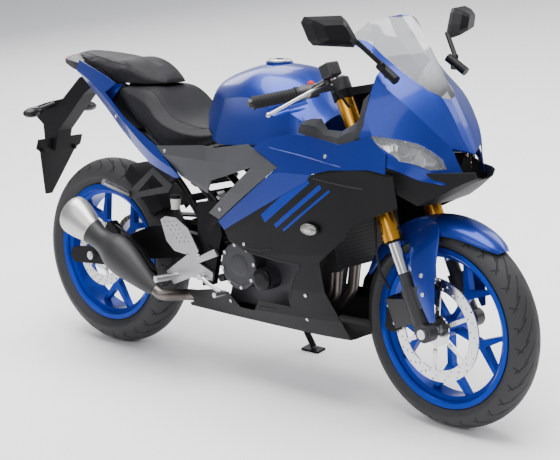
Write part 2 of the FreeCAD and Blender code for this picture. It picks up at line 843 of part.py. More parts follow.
PIVOT = (0.570, 0.414)
SPAR_SHARES = ((1.092, -0.024, 0.765), (0.960, -0.118, 0.705), (0.800, -0.138, 0.640),
               (0.640, -0.140, 0.560), (0.575, -0.138, 0.480))
RAIL_SHARES = ((0.600, -0.136, 0.560), (0.440, -0.112, 0.655), (0.240, -0.085, 0.750),
               (0.100, -0.060, 0.815), (-0.060, -0.050, 0.880))
SHOCK_TOP = (0.470, 0.552)
STAND_PIVOT = (0.600, 0.1646, 0.262)
STAND_AXIS = Vector(0, 0.9535, 0.3014)
STAND_PIN_PLAY = 1.1
STRUT_SHARES = ((0.570, -0.136, 0.470), (0.430, -0.112, 0.590), (0.240, -0.085, 0.735))
PLATE_SHARES = ((0.527, 0.560), (0.610, 0.575), (0.630, 0.470), (0.612, 0.410), (0.590, 0.310),
                (0.545, 0.300), (0.535, 0.400), (0.525, 0.460))


def steering_tube(low, high, radius):
    start = FORK.multVec(Vector(0, 0, low))
    end = FORK.multVec(Vector(0, 0, high))
    return rod(start, end, radius)


def stand_hanger(radius):
    """The bar on the left frame plate that carries the side stand's pin."""
    stand = STAND_AXIS * size("StandKnuckleHalf")
    return rod(drawn(0.586, 0.138, 0.330), drawn(*STAND_PIVOT) - stand * 3, radius)


def main_frame():
    thick = size("YokeThickness")
    low = size("LowerYokeHeight") + thick + GAP
    high = size("UpperYokeHeight") - GAP
    head = steering_tube(low, high, size("HeadTubeRadius"))
    spars = both_pipes(SPAR_SHARES, size("SparRadius"), 60.0)
    rails = both_pipes(RAIL_SHARES, size("RailRadius"), 60.0)
    struts = both_pipes(STRUT_SHARES, size("RailRadius"), 60.0)
    sides = plates(PLATE_SHARES, size("PlateInset"), size("PlateThickness")).Solids
    gusset = rod(drawn(0.960, -0.118, 0.705), drawn(0.960, 0.118, 0.705), size("RailRadius"))
    tie = rod(drawn(0.585, -0.136, 0.540), drawn(0.585, 0.136, 0.540), size("SparRadius"))
    loop = rod(drawn(0.110, -0.062, 0.811), drawn(0.110, 0.062, 0.811), size("RailRadius"))
    pivot = rod(drawn(PIVOT[0], -0.1482, PIVOT[1]), drawn(PIVOT[0], 0.1482, PIVOT[1]),
                size("PivotRadius"))
    tail = rod(drawn(-0.050, -0.050, 0.876), drawn(-0.050, 0.050, 0.876), size("RailRadius"))
    shock_tie = rod(drawn(SHOCK_TOP[0], -0.128, 0.562), drawn(SHOCK_TOP[0], 0.128, 0.562),
                    size("RailRadius"))
    posts = rod(drawn(0.960, -0.118, 0.705), drawn(0.960, -0.118, 0.7895), size("RailRadius"))
    stand = STAND_AXIS * size("StandKnuckleHalf")
    pin = rod(drawn(*STAND_PIVOT) - stand * 3.2, drawn(*STAND_PIVOT) + stand * 1.4,
              size("StandPinRadius"))
    hanger = stand_hanger(size("RailRadius"))
    shape = head.fuse(spars + rails + struts + sides
                      + [gusset, tie, loop, pivot, tail, shock_tie, posts, mirrored(posts),
                         pin, hanger])
    bore = steering_tube(low - OVERRUN, high + OVERRUN, size("StemRadius") + 0.6)
    return feature("main_frame", shape.cut(bore).removeSplitter(), LEANED)


FRONT_SPROCKET = (0.650, 0.410)
FRONT_SPROCKET_CORE = 0.027
ENGINE_SHARES = ((0.618, 0.262), (0.900, 0.262), (0.925, 0.400), (0.985, 0.560), (0.960, 0.650),
                 (0.850, 0.655), (0.780, 0.500), (0.640, 0.480), (0.640, 0.340))


def engine():
    """The power unit as one block with its side covers, filter and mounting bosses."""
    half = 0.105 * DRAWING
    block = drawn_slab(ENGINE_SHARES, -half, 2 * half)
    clutch = rod(drawn(0.700, -0.100, 0.385), drawn(0.700, -0.146, 0.385), 0.072 * DRAWING)
    starter = rod(drawn(0.715, 0.100, 0.370), drawn(0.715, 0.140, 0.370), 0.066 * DRAWING)
    oil_filter = rod(drawn(0.800, -0.100, 0.360), drawn(0.800, -0.150, 0.360), 0.034 * DRAWING)
    mount = rod(drawn(0.605, -0.1275, 0.330), drawn(0.605, 0.1275, 0.330), 0.012 * DRAWING)
    arm = rod(drawn(0.605, 0.0, 0.330), drawn(0.660, 0.0, 0.340), 0.020 * DRAWING)
    pocket = Part.makeBox(0.160 * DRAWING, half, 0.170 * DRAWING,
                          Vector(0.560, 0.070, 0.310) * DRAWING)
    shaft = rod(drawn(FRONT_SPROCKET[0], 0.060, FRONT_SPROCKET[1]),
                drawn(FRONT_SPROCKET[0], 0.089, FRONT_SPROCKET[1]), FRONT_SPROCKET_CORE * DRAWING)
    shape = block.cut(pocket).fuse([clutch, starter, oil_filter, mount, arm, shaft])
    return feature("engine", shape, LEANED)


def radiator():
    core = Part.makeBox(0.030 * DRAWING, 0.270 * DRAWING, 0.240 * DRAWING,
                        Vector(-0.015, -0.135, -0.120) * DRAWING)
    tanks = [Part.makeBox(0.036 * DRAWING, 0.020 * DRAWING, 0.250 * DRAWING,
                          Vector(-0.018, y, -0.125) * DRAWING) for y in (-0.152, 0.132)]
    shape = core.fuse(tanks)
    shape.Placement = Placement(drawn(1.050, 0, 0.545), Rotation(Y_AXIS, -12.0))
    post = rod(drawn(1.028, -0.090, 0.650), drawn(0.985, -0.100, 0.716), 0.008 * DRAWING)
    shape = shape.fuse([post, mirrored(post)])
    return feature("radiator", largest(fitted(shape, LEANED, "main_frame")), LEANED)


HEADER_SHARES = ((0.960, -0.045, 0.600), (1.012, -0.045, 0.560), (0.990, -0.040, 0.330),
                 (0.930, -0.030, 0.238), (0.700, -0.040, 0.236), (0.500, -0.066, 0.240),
                 (0.438, -0.100, 0.246))
HEADER_RADIUS = 18.0
HEADER_BEND = 60.0
HEADER_JOINT = 30.0
HEADER_LEFT_SHARES = ((0.960, 0.045, 0.600), (1.012, 0.045, 0.560), (0.990, 0.040, 0.330),
                      (0.930, 0.022, 0.238), (0.800, -0.030, 0.234))


def header_route():
    place = muffler_frame()[0]
    joint = [place.multVec(Vector(0, 0, z)) for z in (-HEADER_JOINT, -GAP)]
    return [drawn(*point) for point in HEADER_SHARES] + joint


def exhaust_header():
    right = pipe(header_route(), HEADER_RADIUS, HEADER_BEND)
    left = pipe([drawn(*point) for point in HEADER_LEFT_SHARES], HEADER_RADIUS, HEADER_BEND)
    return feature("exhaust_header", largest(fitted(right.fuse(left), LEANED, "engine")), LEANED)


MUFFLER_FRONT = (0.380, -0.192, 0.268)
MUFFLER_REAR = (-0.026, -0.196, 0.462)


def muffler_frame():
    front = drawn(*MUFFLER_FRONT)
    rear = drawn(*MUFFLER_REAR)
    along = (rear - front).normalize()
    side = Z_AXIS.cross(along).normalize()
    up = along.cross(side)
    turn = Rotation(side, up, along, "ZXY")
    return Placement(front, turn), (rear - front).Length


def oval(half_wide, half_high, height, lift=0.0):
    """A rounded closed outline across the muffler's axis, flatter on the inside."""
    points = []
    for step in range(16):
        angle = 2 * math.pi * step / 16
        points.append(Vector(half_wide * math.cos(angle), lift + half_high * math.sin(angle), height))
    curve = Part.BSplineCurve()
    curve.interpolate(points, True)
    return Part.Wire([curve.toShape()])


# Muffler rings: place along its axis as a share of its length, half width, half height and lift.
MUFFLER_SHARES = ((0.0, 0.019, 0.019, 0.0), (0.08, 0.030, 0.032, 0.002), (0.26, 0.046, 0.054, 0.010),
                  (0.45, 0.050, 0.062, 0.012), (0.88, 0.050, 0.064, 0.012),
                  (0.985, 0.044, 0.058, 0.010), (1.0, 0.036, 0.048, 0.008))


def muffler():
    place, length = muffler_frame()
    rings = [oval(a * DRAWING, b * DRAWING, s * length, c * DRAWING) for s, a, b, c in MUFFLER_SHARES]
    shell = loft(rings)
    outlet = Part.makeCylinder(0.020 * DRAWING, 0.060 * DRAWING,
                               Vector(0, 0.008 * DRAWING, length - 0.050 * DRAWING))
    shape = shell.cut(outlet)
    shape.Placement = place
    return feature("muffler", shape, LEANED)


def muffler_cover():
    """A facetted heat shield around the outer side of the muffler's front half, on studs."""
    place, length = muffler_frame()
    rings = []
    for s, a, b, c in COVER_RING_SHARES:
        line = []
        for degrees in COVER_CORNERS:
            angle = math.radians(degrees)
            line.append((-a * DRAWING * math.cos(angle), (c + b * math.sin(angle)) * DRAWING))
        rings.append(shell_section(line, lambda x, y: Vector(x, y, s * length), WALL))
    shape = loft(rings, True)
    shape.Placement = place
    studs = []
    for s, angle in COVER_STUDS:
        turn = math.radians(angle)
        out = Vector(-math.cos(turn), math.sin(turn), 0)
        middle = Vector(0, COVER_LIFT * DRAWING, s * length)
        stud = rod(middle + out * COVER_STUD_START, middle + out * COVER_STUD_END, COVER_STUD_RADIUS)
        stud.Placement = place
        studs.append(largest(fitted(stud, LEANED, "muffler")))
    return feature("muffler_cover", shape.fuse(studs), LEANED)


# Rings of the heat shield: place along the muffler, half width, half height and lift.
COVER_RING_SHARES = ((0.10, 0.043, 0.045, 0.004), (0.26, 0.056, 0.064, 0.010),
                     (0.45, 0.060, 0.072, 0.012), (0.56, 0.059, 0.071, 0.012))
COVER_CORNERS = (85, 45, 0, -40, -80)
COVER_STUDS = ((0.20, 20.0), (0.50, 20.0), (0.35, -20.0))
COVER_LIFT = 0.011
COVER_STUD_START = 20.0
COVER_STUD_END = 56.0
COVER_STUD_RADIUS = 5.0

ARM_SHARES = ((-0.112, 0.300), (-0.100, 0.328), (0.020, 0.346), (0.170, 0.402), (0.280, 0.447),
              (0.400, 0.456), (0.545, 0.446), (0.592, 0.430), (0.592, 0.396), (0.545, 0.384),
              (0.420, 0.366), (0.270, 0.340), (0.080, 0.292), (-0.090, 0.278))


def swingarm():
    inset_arm = size("ArmInset")
    thick = size("ArmThickness")
    arms = plates(ARM_SHARES, inset_arm, thick).Solids
    beam = Part.makeBox(0.130 * DRAWING, 2 * inset_arm, 0.044 * DRAWING,
                        Vector(0.350 * DRAWING, -inset_arm, 0.368 * DRAWING))
    sleeve = rod(drawn(PIVOT[0], -0.1275, PIVOT[1]), drawn(PIVOT[0], 0.1275, PIVOT[1]),
                 0.0155 * DRAWING)
    shape = arms[0].fuse([arms[1], beam, sleeve])
    axle = rod(Vector(0, -OVERRUN - inset_arm * 2, REAR_RADIUS),
               Vector(0, OVERRUN + inset_arm * 2, REAR_RADIUS), size("AxleRadius") + 0.1)
    pivot = rod(drawn(PIVOT[0], -0.2, PIVOT[1]), drawn(PIVOT[0], 0.2, PIVOT[1]),
                size("PivotRadius") + 0.1)
    return feature("swingarm", shape.cut(Part.makeCompound([axle, pivot])), LEANED)


SHOCK_FOOT = (0.430, 0.410)


def rear_shock():
    """A shock absorber with its spring, between a cross tube and the swingarm's beam."""
    top = drawn(SHOCK_TOP[0], 0, SHOCK_TOP[1])
    foot = drawn(SHOCK_FOOT[0], 0, SHOCK_FOOT[1])
    along = foot - top
    damper = rod(top, foot, 0.012 * DRAWING)
    coil = rod(top + along * 0.22, top + along * 0.88, 0.028 * DRAWING)
    seat = rod(top + along * 0.14, top + along * 0.22, 0.032 * DRAWING)
    eye = rod(top - Y_AXIS * 0.016 * DRAWING, top + Y_AXIS * 0.016 * DRAWING, 0.020 * DRAWING)
    shape = damper.fuse([coil, seat, eye])
    return feature("rear_shock", largest(fitted(shape, LEANED, "main_frame", "swingarm")), LEANED)


def rear_axle():
    inset_arm = size("ArmInset")
    thick = size("ArmThickness")
    outer = inset_arm + thick + GAP
    nut = size("AxleNutThickness")
    items = [cylinder("RearAxleBar", "AxleRadius", "2 * RearAxleHalf",
                      Placement(Vector(0, 0, -size("RearAxleHalf")), Rotation()))]
    for tag, start in (("Left", outer), ("Right", -outer - nut)):
        items.append(cylinder("RearAxleNut" + tag, "AxleNutRadius", "AxleNutThickness",
                              Placement(Vector(0, 0, start), Rotation())))
    for tag, low, high in (("Left", size("RearHubLeft") + 1.0, inset_arm - GAP),
                           ("Right", -inset_arm + GAP, -size("RearHubRight") - 1.0)):
        sleeve = Part.makeCylinder(size("SpacerRadius"), high - low, Vector(0, 0, low))
        item = doc.addObject("Part::Feature", "RearSleeve" + tag)
        item.Shape = sleeve
        items.append(item)
    return node(fused("RearAxle", items), "rear_axle", REAR_WHEEL.multiply(ON_AXLE))


def chain_loop(growth):
    """Outline of the chain's loop around both sprockets, grown outwards by a length."""
    rear_radius = size("SprocketRadius") - size("ToothDepth") / 2 + growth
    front_radius = size("FrontSprocketRadius") + growth
    rear = Vector(0, 0, REAR_RADIUS)
    front = drawn(FRONT_SPROCKET[0], 0, FRONT_SPROCKET[1])
    line = front - rear
    tilt = math.atan2(line.z, line.x)
    flare = math.asin((rear_radius - front_radius) / line.Length)
    upper = tilt + math.pi / 2 - flare
    lower = tilt - math.pi / 2 + flare

    def spot(centre, radius, angle):
        return centre + Vector(math.cos(angle), 0, math.sin(angle)) * radius

    top_rear, top_front = spot(rear, rear_radius, upper), spot(front, front_radius, upper)
    low_rear, low_front = spot(rear, rear_radius, lower), spot(front, front_radius, lower)
    edges = [Part.LineSegment(top_rear, top_front).toShape(),
             Part.Arc(top_front, spot(front, front_radius, tilt), low_front).toShape(),
             Part.LineSegment(low_front, low_rear).toShape(),
             Part.Arc(low_rear, spot(rear, rear_radius, tilt + math.pi), top_rear).toShape()]
    return Part.Face(Part.Wire(edges))


def chain():
    half = size("ChainHeight") / 2
    width = size("ChainWidth")
    outer = chain_loop(half).extrude(Vector(0, width, 0))
    inner = chain_loop(-half + 1.0).extrude(Vector(0, width * 3, 0))
    inner.translate(Vector(0, -width, 0))
    shape = outer.cut(inner)
    shape.translate(Vector(0, size("ChainLine") - width / 2, 0))
    groove = chain_loop(half * 0.4).extrude(Vector(0, SPROCKET_GROOVE, 0))
    groove.translate(Vector(0, size("ChainLine") - SPROCKET_GROOVE / 2, 0))
    return feature("chain", shape.cut(groove), LEANED)


SPROCKET_GROOVE = 9.0


def sprocket():
    body = wheel_body("sprocket", REAR_WHEEL)
    outer = size("SprocketRadius") - size("ToothDepth")
    start = size("ChainLine") - size("SprocketThickness") / 2
    ring = origin_sketch(body, "SprocketSection", "XZ_Plane")
    end = start + size("SprocketThickness")
    hub = size("RearHubLeft")
    core = size("SpacerRadius") + 3.0
    sketch_polygon(ring, [(core, hub + GAP), (size("RearHubRadius"), hub + GAP),
                          (size("RearHubRadius"), start), (outer, start), (outer, end),
                          (core, end)])
    revolve_in_body(body, ring)
    tooth = origin_sketch(body, "Tooth", "XY_Plane")
    tooth.AttachmentOffset = Placement(Vector(0, 0, start), Rotation())
    half = math.pi * outer / size("SprocketTeeth") * 0.5
    sketch_polygon(tooth, [(outer - 2.0, -half), (outer + size("ToothDepth") * 0.8, -half * 0.35),
                           (outer + size("ToothDepth") * 0.8, half * 0.35), (outer - 2.0, half)])
    pad = body.newObject("PartDesign::Pad", "ToothPad")
    pad.Profile = tooth
    bind(pad, Length="SprocketThickness")
    pattern = body.newObject("PartDesign::PolarPattern", "Teeth")
    pattern.Originals = [pad]
    pattern.Axis = (tooth, ["N_Axis"])
    pattern.Angle = 360.0
    bind(pattern, Occurrences="SprocketTeeth")
    body.Tip = pattern
    return body


GUARD_SHARES = ((-0.020, 0.431), (0.160, 0.438), (0.290, 0.4500), (0.400, 0.4562),
                (0.430, 0.4560), (0.430, 0.461), (0.290, 0.457), (0.160, 0.446), (-0.020, 0.438))


def chain_guard():
    """A cover over the chain's upper run, seated on the swingarm's left arm."""
    start = size("ChainLine") - size("ChainWidth") / 2 - 2.0
    width = size("ArmInset") + size("ArmThickness") - start
    shape = fitted(drawn_slab(GUARD_SHARES, start, width), LEANED, "swingarm")
    return feature("chain_guard", largest(shape), LEANED)


# Rows of the rear mudguard: angle about the axle and half width.
MUDGUARD_SHARES = ((68.0, 0.070), (56.0, 0.078), (44.0, 0.079), (33.0, 0.079))


def rear_mudguard():
    """An inner fender between the wheel and the engine, round the tyre, on the swingarm."""
    wires = []
    for angle, half in MUDGUARD_SHARES:
        turn = math.radians(angle)
        low, mid, top = (REAR_RADIUS + 0.008 * DRAWING, REAR_RADIUS + 0.022 * DRAWING,
                         REAR_RADIUS + 0.024 * DRAWING)
        half *= DRAWING
        line = [(-half, low - 0.03 * DRAWING), (-half * 0.82, mid), (0.0, top), (half * 0.82, mid),
                (half, low - 0.03 * DRAWING)]

        def at(y, r):
            return Vector(r * math.cos(turn), y, REAR_RADIUS + r * math.sin(turn))
        wires.append(shell_section(line, at, WALL))
    stay = rod(drawn(0.262, -0.078, 0.490), drawn(0.290, -0.108, 0.448), 0.005 * DRAWING)
    shape = loft(wires).fuse([stay, mirrored(stay)])
    shape = largest(fitted(shape, LEANED, "swingarm", "chain_guard"))
    return feature("rear_mudguard", shape, LEANED)


main_frame()
engine()
radiator()
muffler()
muffler_cover()
exhaust_header()
swingarm()
rear_shock()
rear_axle()
chain()
sprocket()
disc("rear_disc", REAR_WHEEL, size("RearDiscRadius"), size("RearDiscInner"),
     size("RearHubRadius"), 5, -REAR_DISC_LINE)
chain_guard()
rear_mudguard()


# Bodywork


def profile_solid(stations):
    """A closed lofted solid. Each station has a place along X and half lines of (y, z) points
    that run from the middle of the top, edge by edge, to the middle of the bottom."""
    wires = []
    for x, runs in stations:
        edges = []
        half = [[drawn(x, -y, z) for y, z in run] for run in runs]
        top = half[0]
        crown = [Vector(p.x, -p.y, p.z) for p in top[::-1]] + top[1:]
        edges.append(smooth_run(crown))
        for run in half[1:]:
            edges.append(smooth_run(run))
        floor = half[-1][-1]
        left_floor = Vector(floor.x, -floor.y, floor.z)
        edges.append(Part.LineSegment(floor, left_floor).toShape())
        for run in half[:0:-1]:
            edges.append(smooth_run([Vector(p.x, -p.y, p.z) for p in run[::-1]]))
        wires.append(Part.Wire(edges))
    return loft(wires)


# Tank stations: place, crown line, then the side down to the lower edge, as (y, z) shares.
TANK_SHARES = (
    (0.468, (((0.0, 0.836), (0.012, 0.835)), ((0.012, 0.835), (0.026, 0.824)),
             ((0.026, 0.824), (0.040, 0.812)))),
    (0.500, (((0.0, 0.896), (0.022, 0.892)), ((0.022, 0.892), (0.038, 0.880), (0.050, 0.858)),
             ((0.050, 0.858), (0.062, 0.830), (0.068, 0.800)))),
    (0.560, (((0.0, 0.939), (0.042, 0.932)), ((0.042, 0.932), (0.074, 0.912), (0.094, 0.874)),
             ((0.094, 0.874), (0.104, 0.820), (0.118, 0.760)))),
    (0.640, (((0.0, 0.968), (0.056, 0.959)), ((0.056, 0.959), (0.106, 0.932), (0.136, 0.884)),
             ((0.136, 0.884), (0.136, 0.820), (0.146, 0.748)))),
    (0.740, (((0.0, 0.988), (0.062, 0.979)), ((0.062, 0.979), (0.128, 0.950), (0.164, 0.898)),
             ((0.164, 0.898), (0.156, 0.830), (0.166, 0.757)))),
    (0.820, (((0.0, 0.985), (0.064, 0.975)), ((0.064, 0.975), (0.134, 0.944), (0.172, 0.894)),
             ((0.172, 0.894), (0.168, 0.830), (0.176, 0.768)))),
    (0.890, (((0.0, 0.968), (0.062, 0.958)), ((0.062, 0.958), (0.130, 0.928), (0.172, 0.880)),
             ((0.172, 0.880), (0.174, 0.830), (0.180, 0.778)))),
    (0.960, (((0.0, 0.905), (0.056, 0.900)), ((0.056, 0.900), (0.116, 0.876), (0.156, 0.846)),
             ((0.156, 0.846), (0.162, 0.820), (0.168, 0.790)))),
    (1.010, (((0.0, 0.862), (0.050, 0.858)), ((0.050, 0.858), (0.098, 0.846), (0.130, 0.830)),
             ((0.130, 0.830), (0.136, 0.815), (0.140, 0.800)))),
)
CAP_PLACE = (0.735, 0.9905)
SEAT_ROOM_SHARE = 0.0015


def filler_frame():
    """The fuel filler's place on top of the tank, in the upright bike."""
    return Placement(drawn(CAP_PLACE[0], 0, CAP_PLACE[1]), Rotation())


def fuel_tank():
    shape = profile_solid(TANK_SHARES)
    place = filler_frame()
    radius = size("CapRadius")
    seat = Part.makeCylinder(radius + 4.0, 24.0, Vector(0, 0, -24.0))
    seat.Placement = place
    bore = Part.makeCylinder(size("FillerRadius"), size("FillerDepth") + OVERRUN,
                             Vector(0, 0, -size("FillerDepth")))
    bore.Placement = place
    pin = hinge_pin(size("CapHingeRadius") + GAP, size("CapHingeHalf") + GAP)
    shape = shape.fuse(seat).cut([bore, pin] + knuckle_room())
    seat_room = cushion([(x, half + SEAT_ROOM_SHARE, top + SEAT_ROOM_SHARE, edge + SEAT_ROOM_SHARE,
                          floor - SEAT_ROOM_SHARE) for x, half, top, edge, floor in RIDER_SHARES])
    shape = largest(fitted(shape.cut(seat_room), LEANED, "main_frame"))
    return feature("fuel_tank", shape, LEANED)


def hinge_pin(radius, half):
    """The barrel that the cap's lid turns on, across its front edge."""
    middle = Vector(size("CapRadius"), -half, size("CapThickness") / 2)
    barrel = Part.makeCylinder(radius, 2 * half, middle, Y_AXIS)
    barrel.Placement = filler_frame()
    return barrel


def knuckle_room():
    """Room beside the tank for each grip at full lock, in the upright bike."""
    lock = size("SteerLockAngle")
    tools = []
    for side in (-1, 1):
        root, end = [Vector(p.x, -side * p.y, p.z) for p in (bar_root(), BAR_END)]
        ahead = (end - root).normalize()
        turned = FORK.multiply(Placement(Vector(), Rotation(Z_AXIS, side * lock)))
        for start, stop, radius in ((root, root + ahead * SPREAD, HOUSING_RADIUS),
                                    (root + ahead * SPREAD, end + ahead * BAR_RADIUS,
                                     GRIP_RADIUS)):
            room = rod(start, stop + ahead * KNUCKLE_ROOM, radius + KNUCKLE_ROOM)
            room.Placement = turned
            tools.append(room)
    return tools


def fuel_cap():
    radius = size("CapRadius")
    lid = Part.makeCylinder(radius, size("CapThickness"), Vector(0, 0, GAP))
    lid = lid.makeChamfer(2.0, [e for e in lid.Edges if e.BoundBox.ZMin > GAP + 1.0
                                and e.Curve.TypeId == "Part::GeomCircle"])
    lid.Placement = filler_frame()
    lid = lid.fuse(hinge_pin(size("CapHingeRadius"), size("CapHingeHalf")))
    return feature("fuel_cap", lid, LEANED)


RIDER_SHARES = (
    (0.125, 0.106, 0.888, 0.880, 0.852),
    (0.165, 0.122, 0.889, 0.878, 0.836),
    (0.220, 0.138, 0.888, 0.866, 0.800),
    (0.290, 0.150, 0.882, 0.842, 0.756),
    (0.345, 0.160, 0.838, 0.806, 0.722),
    (0.420, 0.164, 0.798, 0.778, 0.706),
    (0.500, 0.148, 0.785, 0.764, 0.714),
    (0.575, 0.116, 0.790, 0.770, 0.738),
    (0.625, 0.080, 0.792, 0.772, 0.752),
)
PILLION_SHARES = (
    (-0.140, 0.045, 0.980, 0.974, 0.964),
    (-0.080, 0.076, 0.979, 0.968, 0.950),
    (0.000, 0.096, 0.973, 0.955, 0.928),
    (0.080, 0.104, 0.966, 0.944, 0.902),
    (0.105, 0.106, 0.966, 0.941, 0.893),
    (0.135, 0.106, 0.971, 0.939, 0.8915),
    (0.200, 0.098, 0.957, 0.925, 0.8915),
    (0.255, 0.074, 0.933, 0.909, 0.8925),
    (0.292, 0.046, 0.914, 0.903, 0.894),
)


def cushion(table):
    stations = []
    for x, half, top, edge, floor in table:
        mid = edge + (top - edge) * 0.82
        crown = ((0.0, top), (half * 0.62, mid), (half, edge))
        side = ((half, edge), (half * 0.94, floor))
        stations.append((x, (crown, side)))
    return profile_solid(stations)


def side_lines(table):
    """Right-hand stations: lines of (y, z) from the bottom up."""
    return [(x, [(-y, z) for y, z in line]) for x, line in table]


TAIL_SHARES = (
    (0.510, ((0.186, 0.600), (0.188, 0.650), (0.176, 0.720))),
    (0.400, ((0.170, 0.610), (0.182, 0.680), (0.170, 0.755))),
    (0.250, ((0.138, 0.680), (0.162, 0.755), (0.150, 0.845))),
    (0.100, ((0.102, 0.770), (0.134, 0.845), (0.124, 0.930))),
    (-0.050, ((0.064, 0.845), (0.100, 0.910), (0.096, 0.970))),
    (-0.140, ((0.040, 0.880), (0.080, 0.930), (0.074, 0.975))),
)
TAIL_OUTLINE_SHARES = ((-0.074, 0.958), (0.014, 0.937), (0.096, 0.916), (0.150, 0.897),
                       (0.092, 0.864), (0.134, 0.839), (0.204, 0.795), (0.287, 0.759),
                       (0.372, 0.7225), (0.490, 0.638), (0.4715, 0.632), (0.3325, 0.6635),
                       (0.237, 0.712), (0.1495, 0.759), (0.0645, 0.814), (-0.017, 0.864),
                       (-0.092, 0.925))
FAIRING_SHARES = (
    (0.440, ((0.100, 0.212), (0.120, 0.250), (0.130, 0.300), (0.150, 0.400), (0.160, 0.500),
             (0.160, 0.600), (0.160, 0.700))),
    (0.600, ((0.104, 0.212), (0.124, 0.250), (0.138, 0.300), (0.168, 0.400), (0.178, 0.500),
             (0.178, 0.600), (0.172, 0.700))),
    (0.750, ((0.106, 0.212), (0.148, 0.260), (0.176, 0.330), (0.192, 0.420), (0.196, 0.520),
             (0.196, 0.620), (0.190, 0.720))),
    (0.920, ((0.110, 0.214), (0.156, 0.270), (0.188, 0.360), (0.204, 0.460), (0.212, 0.580),
             (0.216, 0.700), (0.200, 0.815))),
    (1.060, ((0.112, 0.218), (0.158, 0.280), (0.190, 0.370), (0.208, 0.480), (0.218, 0.600),
             (0.224, 0.710), (0.202, 0.825))),
    (1.160, ((0.100, 0.222), (0.148, 0.300), (0.184, 0.400), (0.204, 0.500), (0.216, 0.620),
             (0.226, 0.730), (0.212, 0.835))),
    (1.260, ((0.060, 0.240), (0.110, 0.320), (0.150, 0.420), (0.180, 0.520), (0.200, 0.630),
             (0.218, 0.735), (0.212, 0.845))),
    (1.340, ((0.020, 0.280), (0.060, 0.360), (0.100, 0.450), (0.140, 0.550), (0.168, 0.650),
             (0.188, 0.740), (0.195, 0.855))),
)
SHOULDER_OUTLINE_SHARES = ((0.771, 0.773), (0.957, 0.812), (1.019, 0.813), (1.147, 0.801),
                           (1.252, 0.832), (1.300, 0.790), (1.300, 0.735), (1.251, 0.743),
                           (1.118, 0.729), (1.052, 0.710), (1.032, 0.688), (0.678, 0.499),
                           (0.650, 0.521), (0.919, 0.716))
LOWER_OUTLINE_SHARES = ((0.6785, 0.498), (0.700, 0.468), (0.790, 0.445), (0.985, 0.433),
                        (0.960, 0.405), (0.925, 0.325), (0.925, 0.3005), (1.100, 0.3005),
                        (1.074, 0.370), (1.067, 0.459), (1.167, 0.544), (1.182, 0.575),
                        (1.266, 0.616), (1.320, 0.640), (1.320, 0.730), (1.251, 0.7425),
                        (1.118, 0.7285), (1.0525, 0.7095), (1.0325, 0.6875))
BELLY_OUTLINE_SHARES = ((1.100, 0.300), (0.800, 0.300), (0.763, 0.258), (0.700, 0.256),
                        (0.655, 0.298), (0.597, 0.295), (0.445, 0.262), (0.445, 0.180),
                        (1.134, 0.180), (1.127, 0.209), (1.106, 0.281))
COVER_OUTLINE_SHARES = ((0.376, 0.723), (0.575, 0.742), (0.634, 0.741), (0.770, 0.765),
                        (0.918, 0.7155), (0.652, 0.527), (0.604, 0.540), (0.810, 0.703),
                        (0.629, 0.643), (0.607, 0.601), (0.486, 0.640))
COVER_SHARES = (
    (0.340, ((0.150, 0.560), (0.165, 0.640), (0.174, 0.700), (0.172, 0.760))),
    (0.480, ((0.158, 0.540), (0.176, 0.640), (0.182, 0.700), (0.176, 0.760))),
    (0.620, ((0.176, 0.520), (0.188, 0.620), (0.190, 0.700), (0.172, 0.770))),
    (0.780, ((0.196, 0.520), (0.204, 0.620), (0.206, 0.700), (0.180, 0.775))),
    (0.930, ((0.212, 0.520), (0.216, 0.620), (0.217, 0.700), (0.200, 0.780))),
)
DEPTH = 400.0
BELLY_ROOM = 5.0




def side_panel(label, table, outline, *neighbours):
    """A pair of thin side panels: a lofted skin kept inside a side-view outline."""
    shell = skin(side_lines(table), across, WALL)
    panel = shell.common(window(outline, DEPTH, across))
    right = largest(fitted(panel, LEANED, *neighbours))
    return feature(label, pair(right), LEANED)


def belly():
    stations = []
    for x, line in FAIRING_SHARES[:6]:
        low = [(0.0, line[0][1] - 0.008), (line[0][0] * 0.6, line[0][1] - 0.006)] + list(line[:4])
        whole = [(-y, z) for y, z in low[::-1]] + low[1:]
        stations.append((x, whole[::-1]))
    shell = skin(stations, across, WALL)
    tool = window(BELLY_OUTLINE_SHARES, DEPTH, across)
    turning = steering_tube(-DEPTH, DEPTH, size("WheelArchRadius"))
    pipe_room = pipe(header_route(), HEADER_RADIUS + BELLY_ROOM, HEADER_BEND)
    stand_room = stand_hanger(size("RailRadius") + BELLY_ROOM)
    shape = shell.common(tool).cut([turning, pipe_room, stand_room])
    return feature("belly_pan", largest(shape), LEANED)


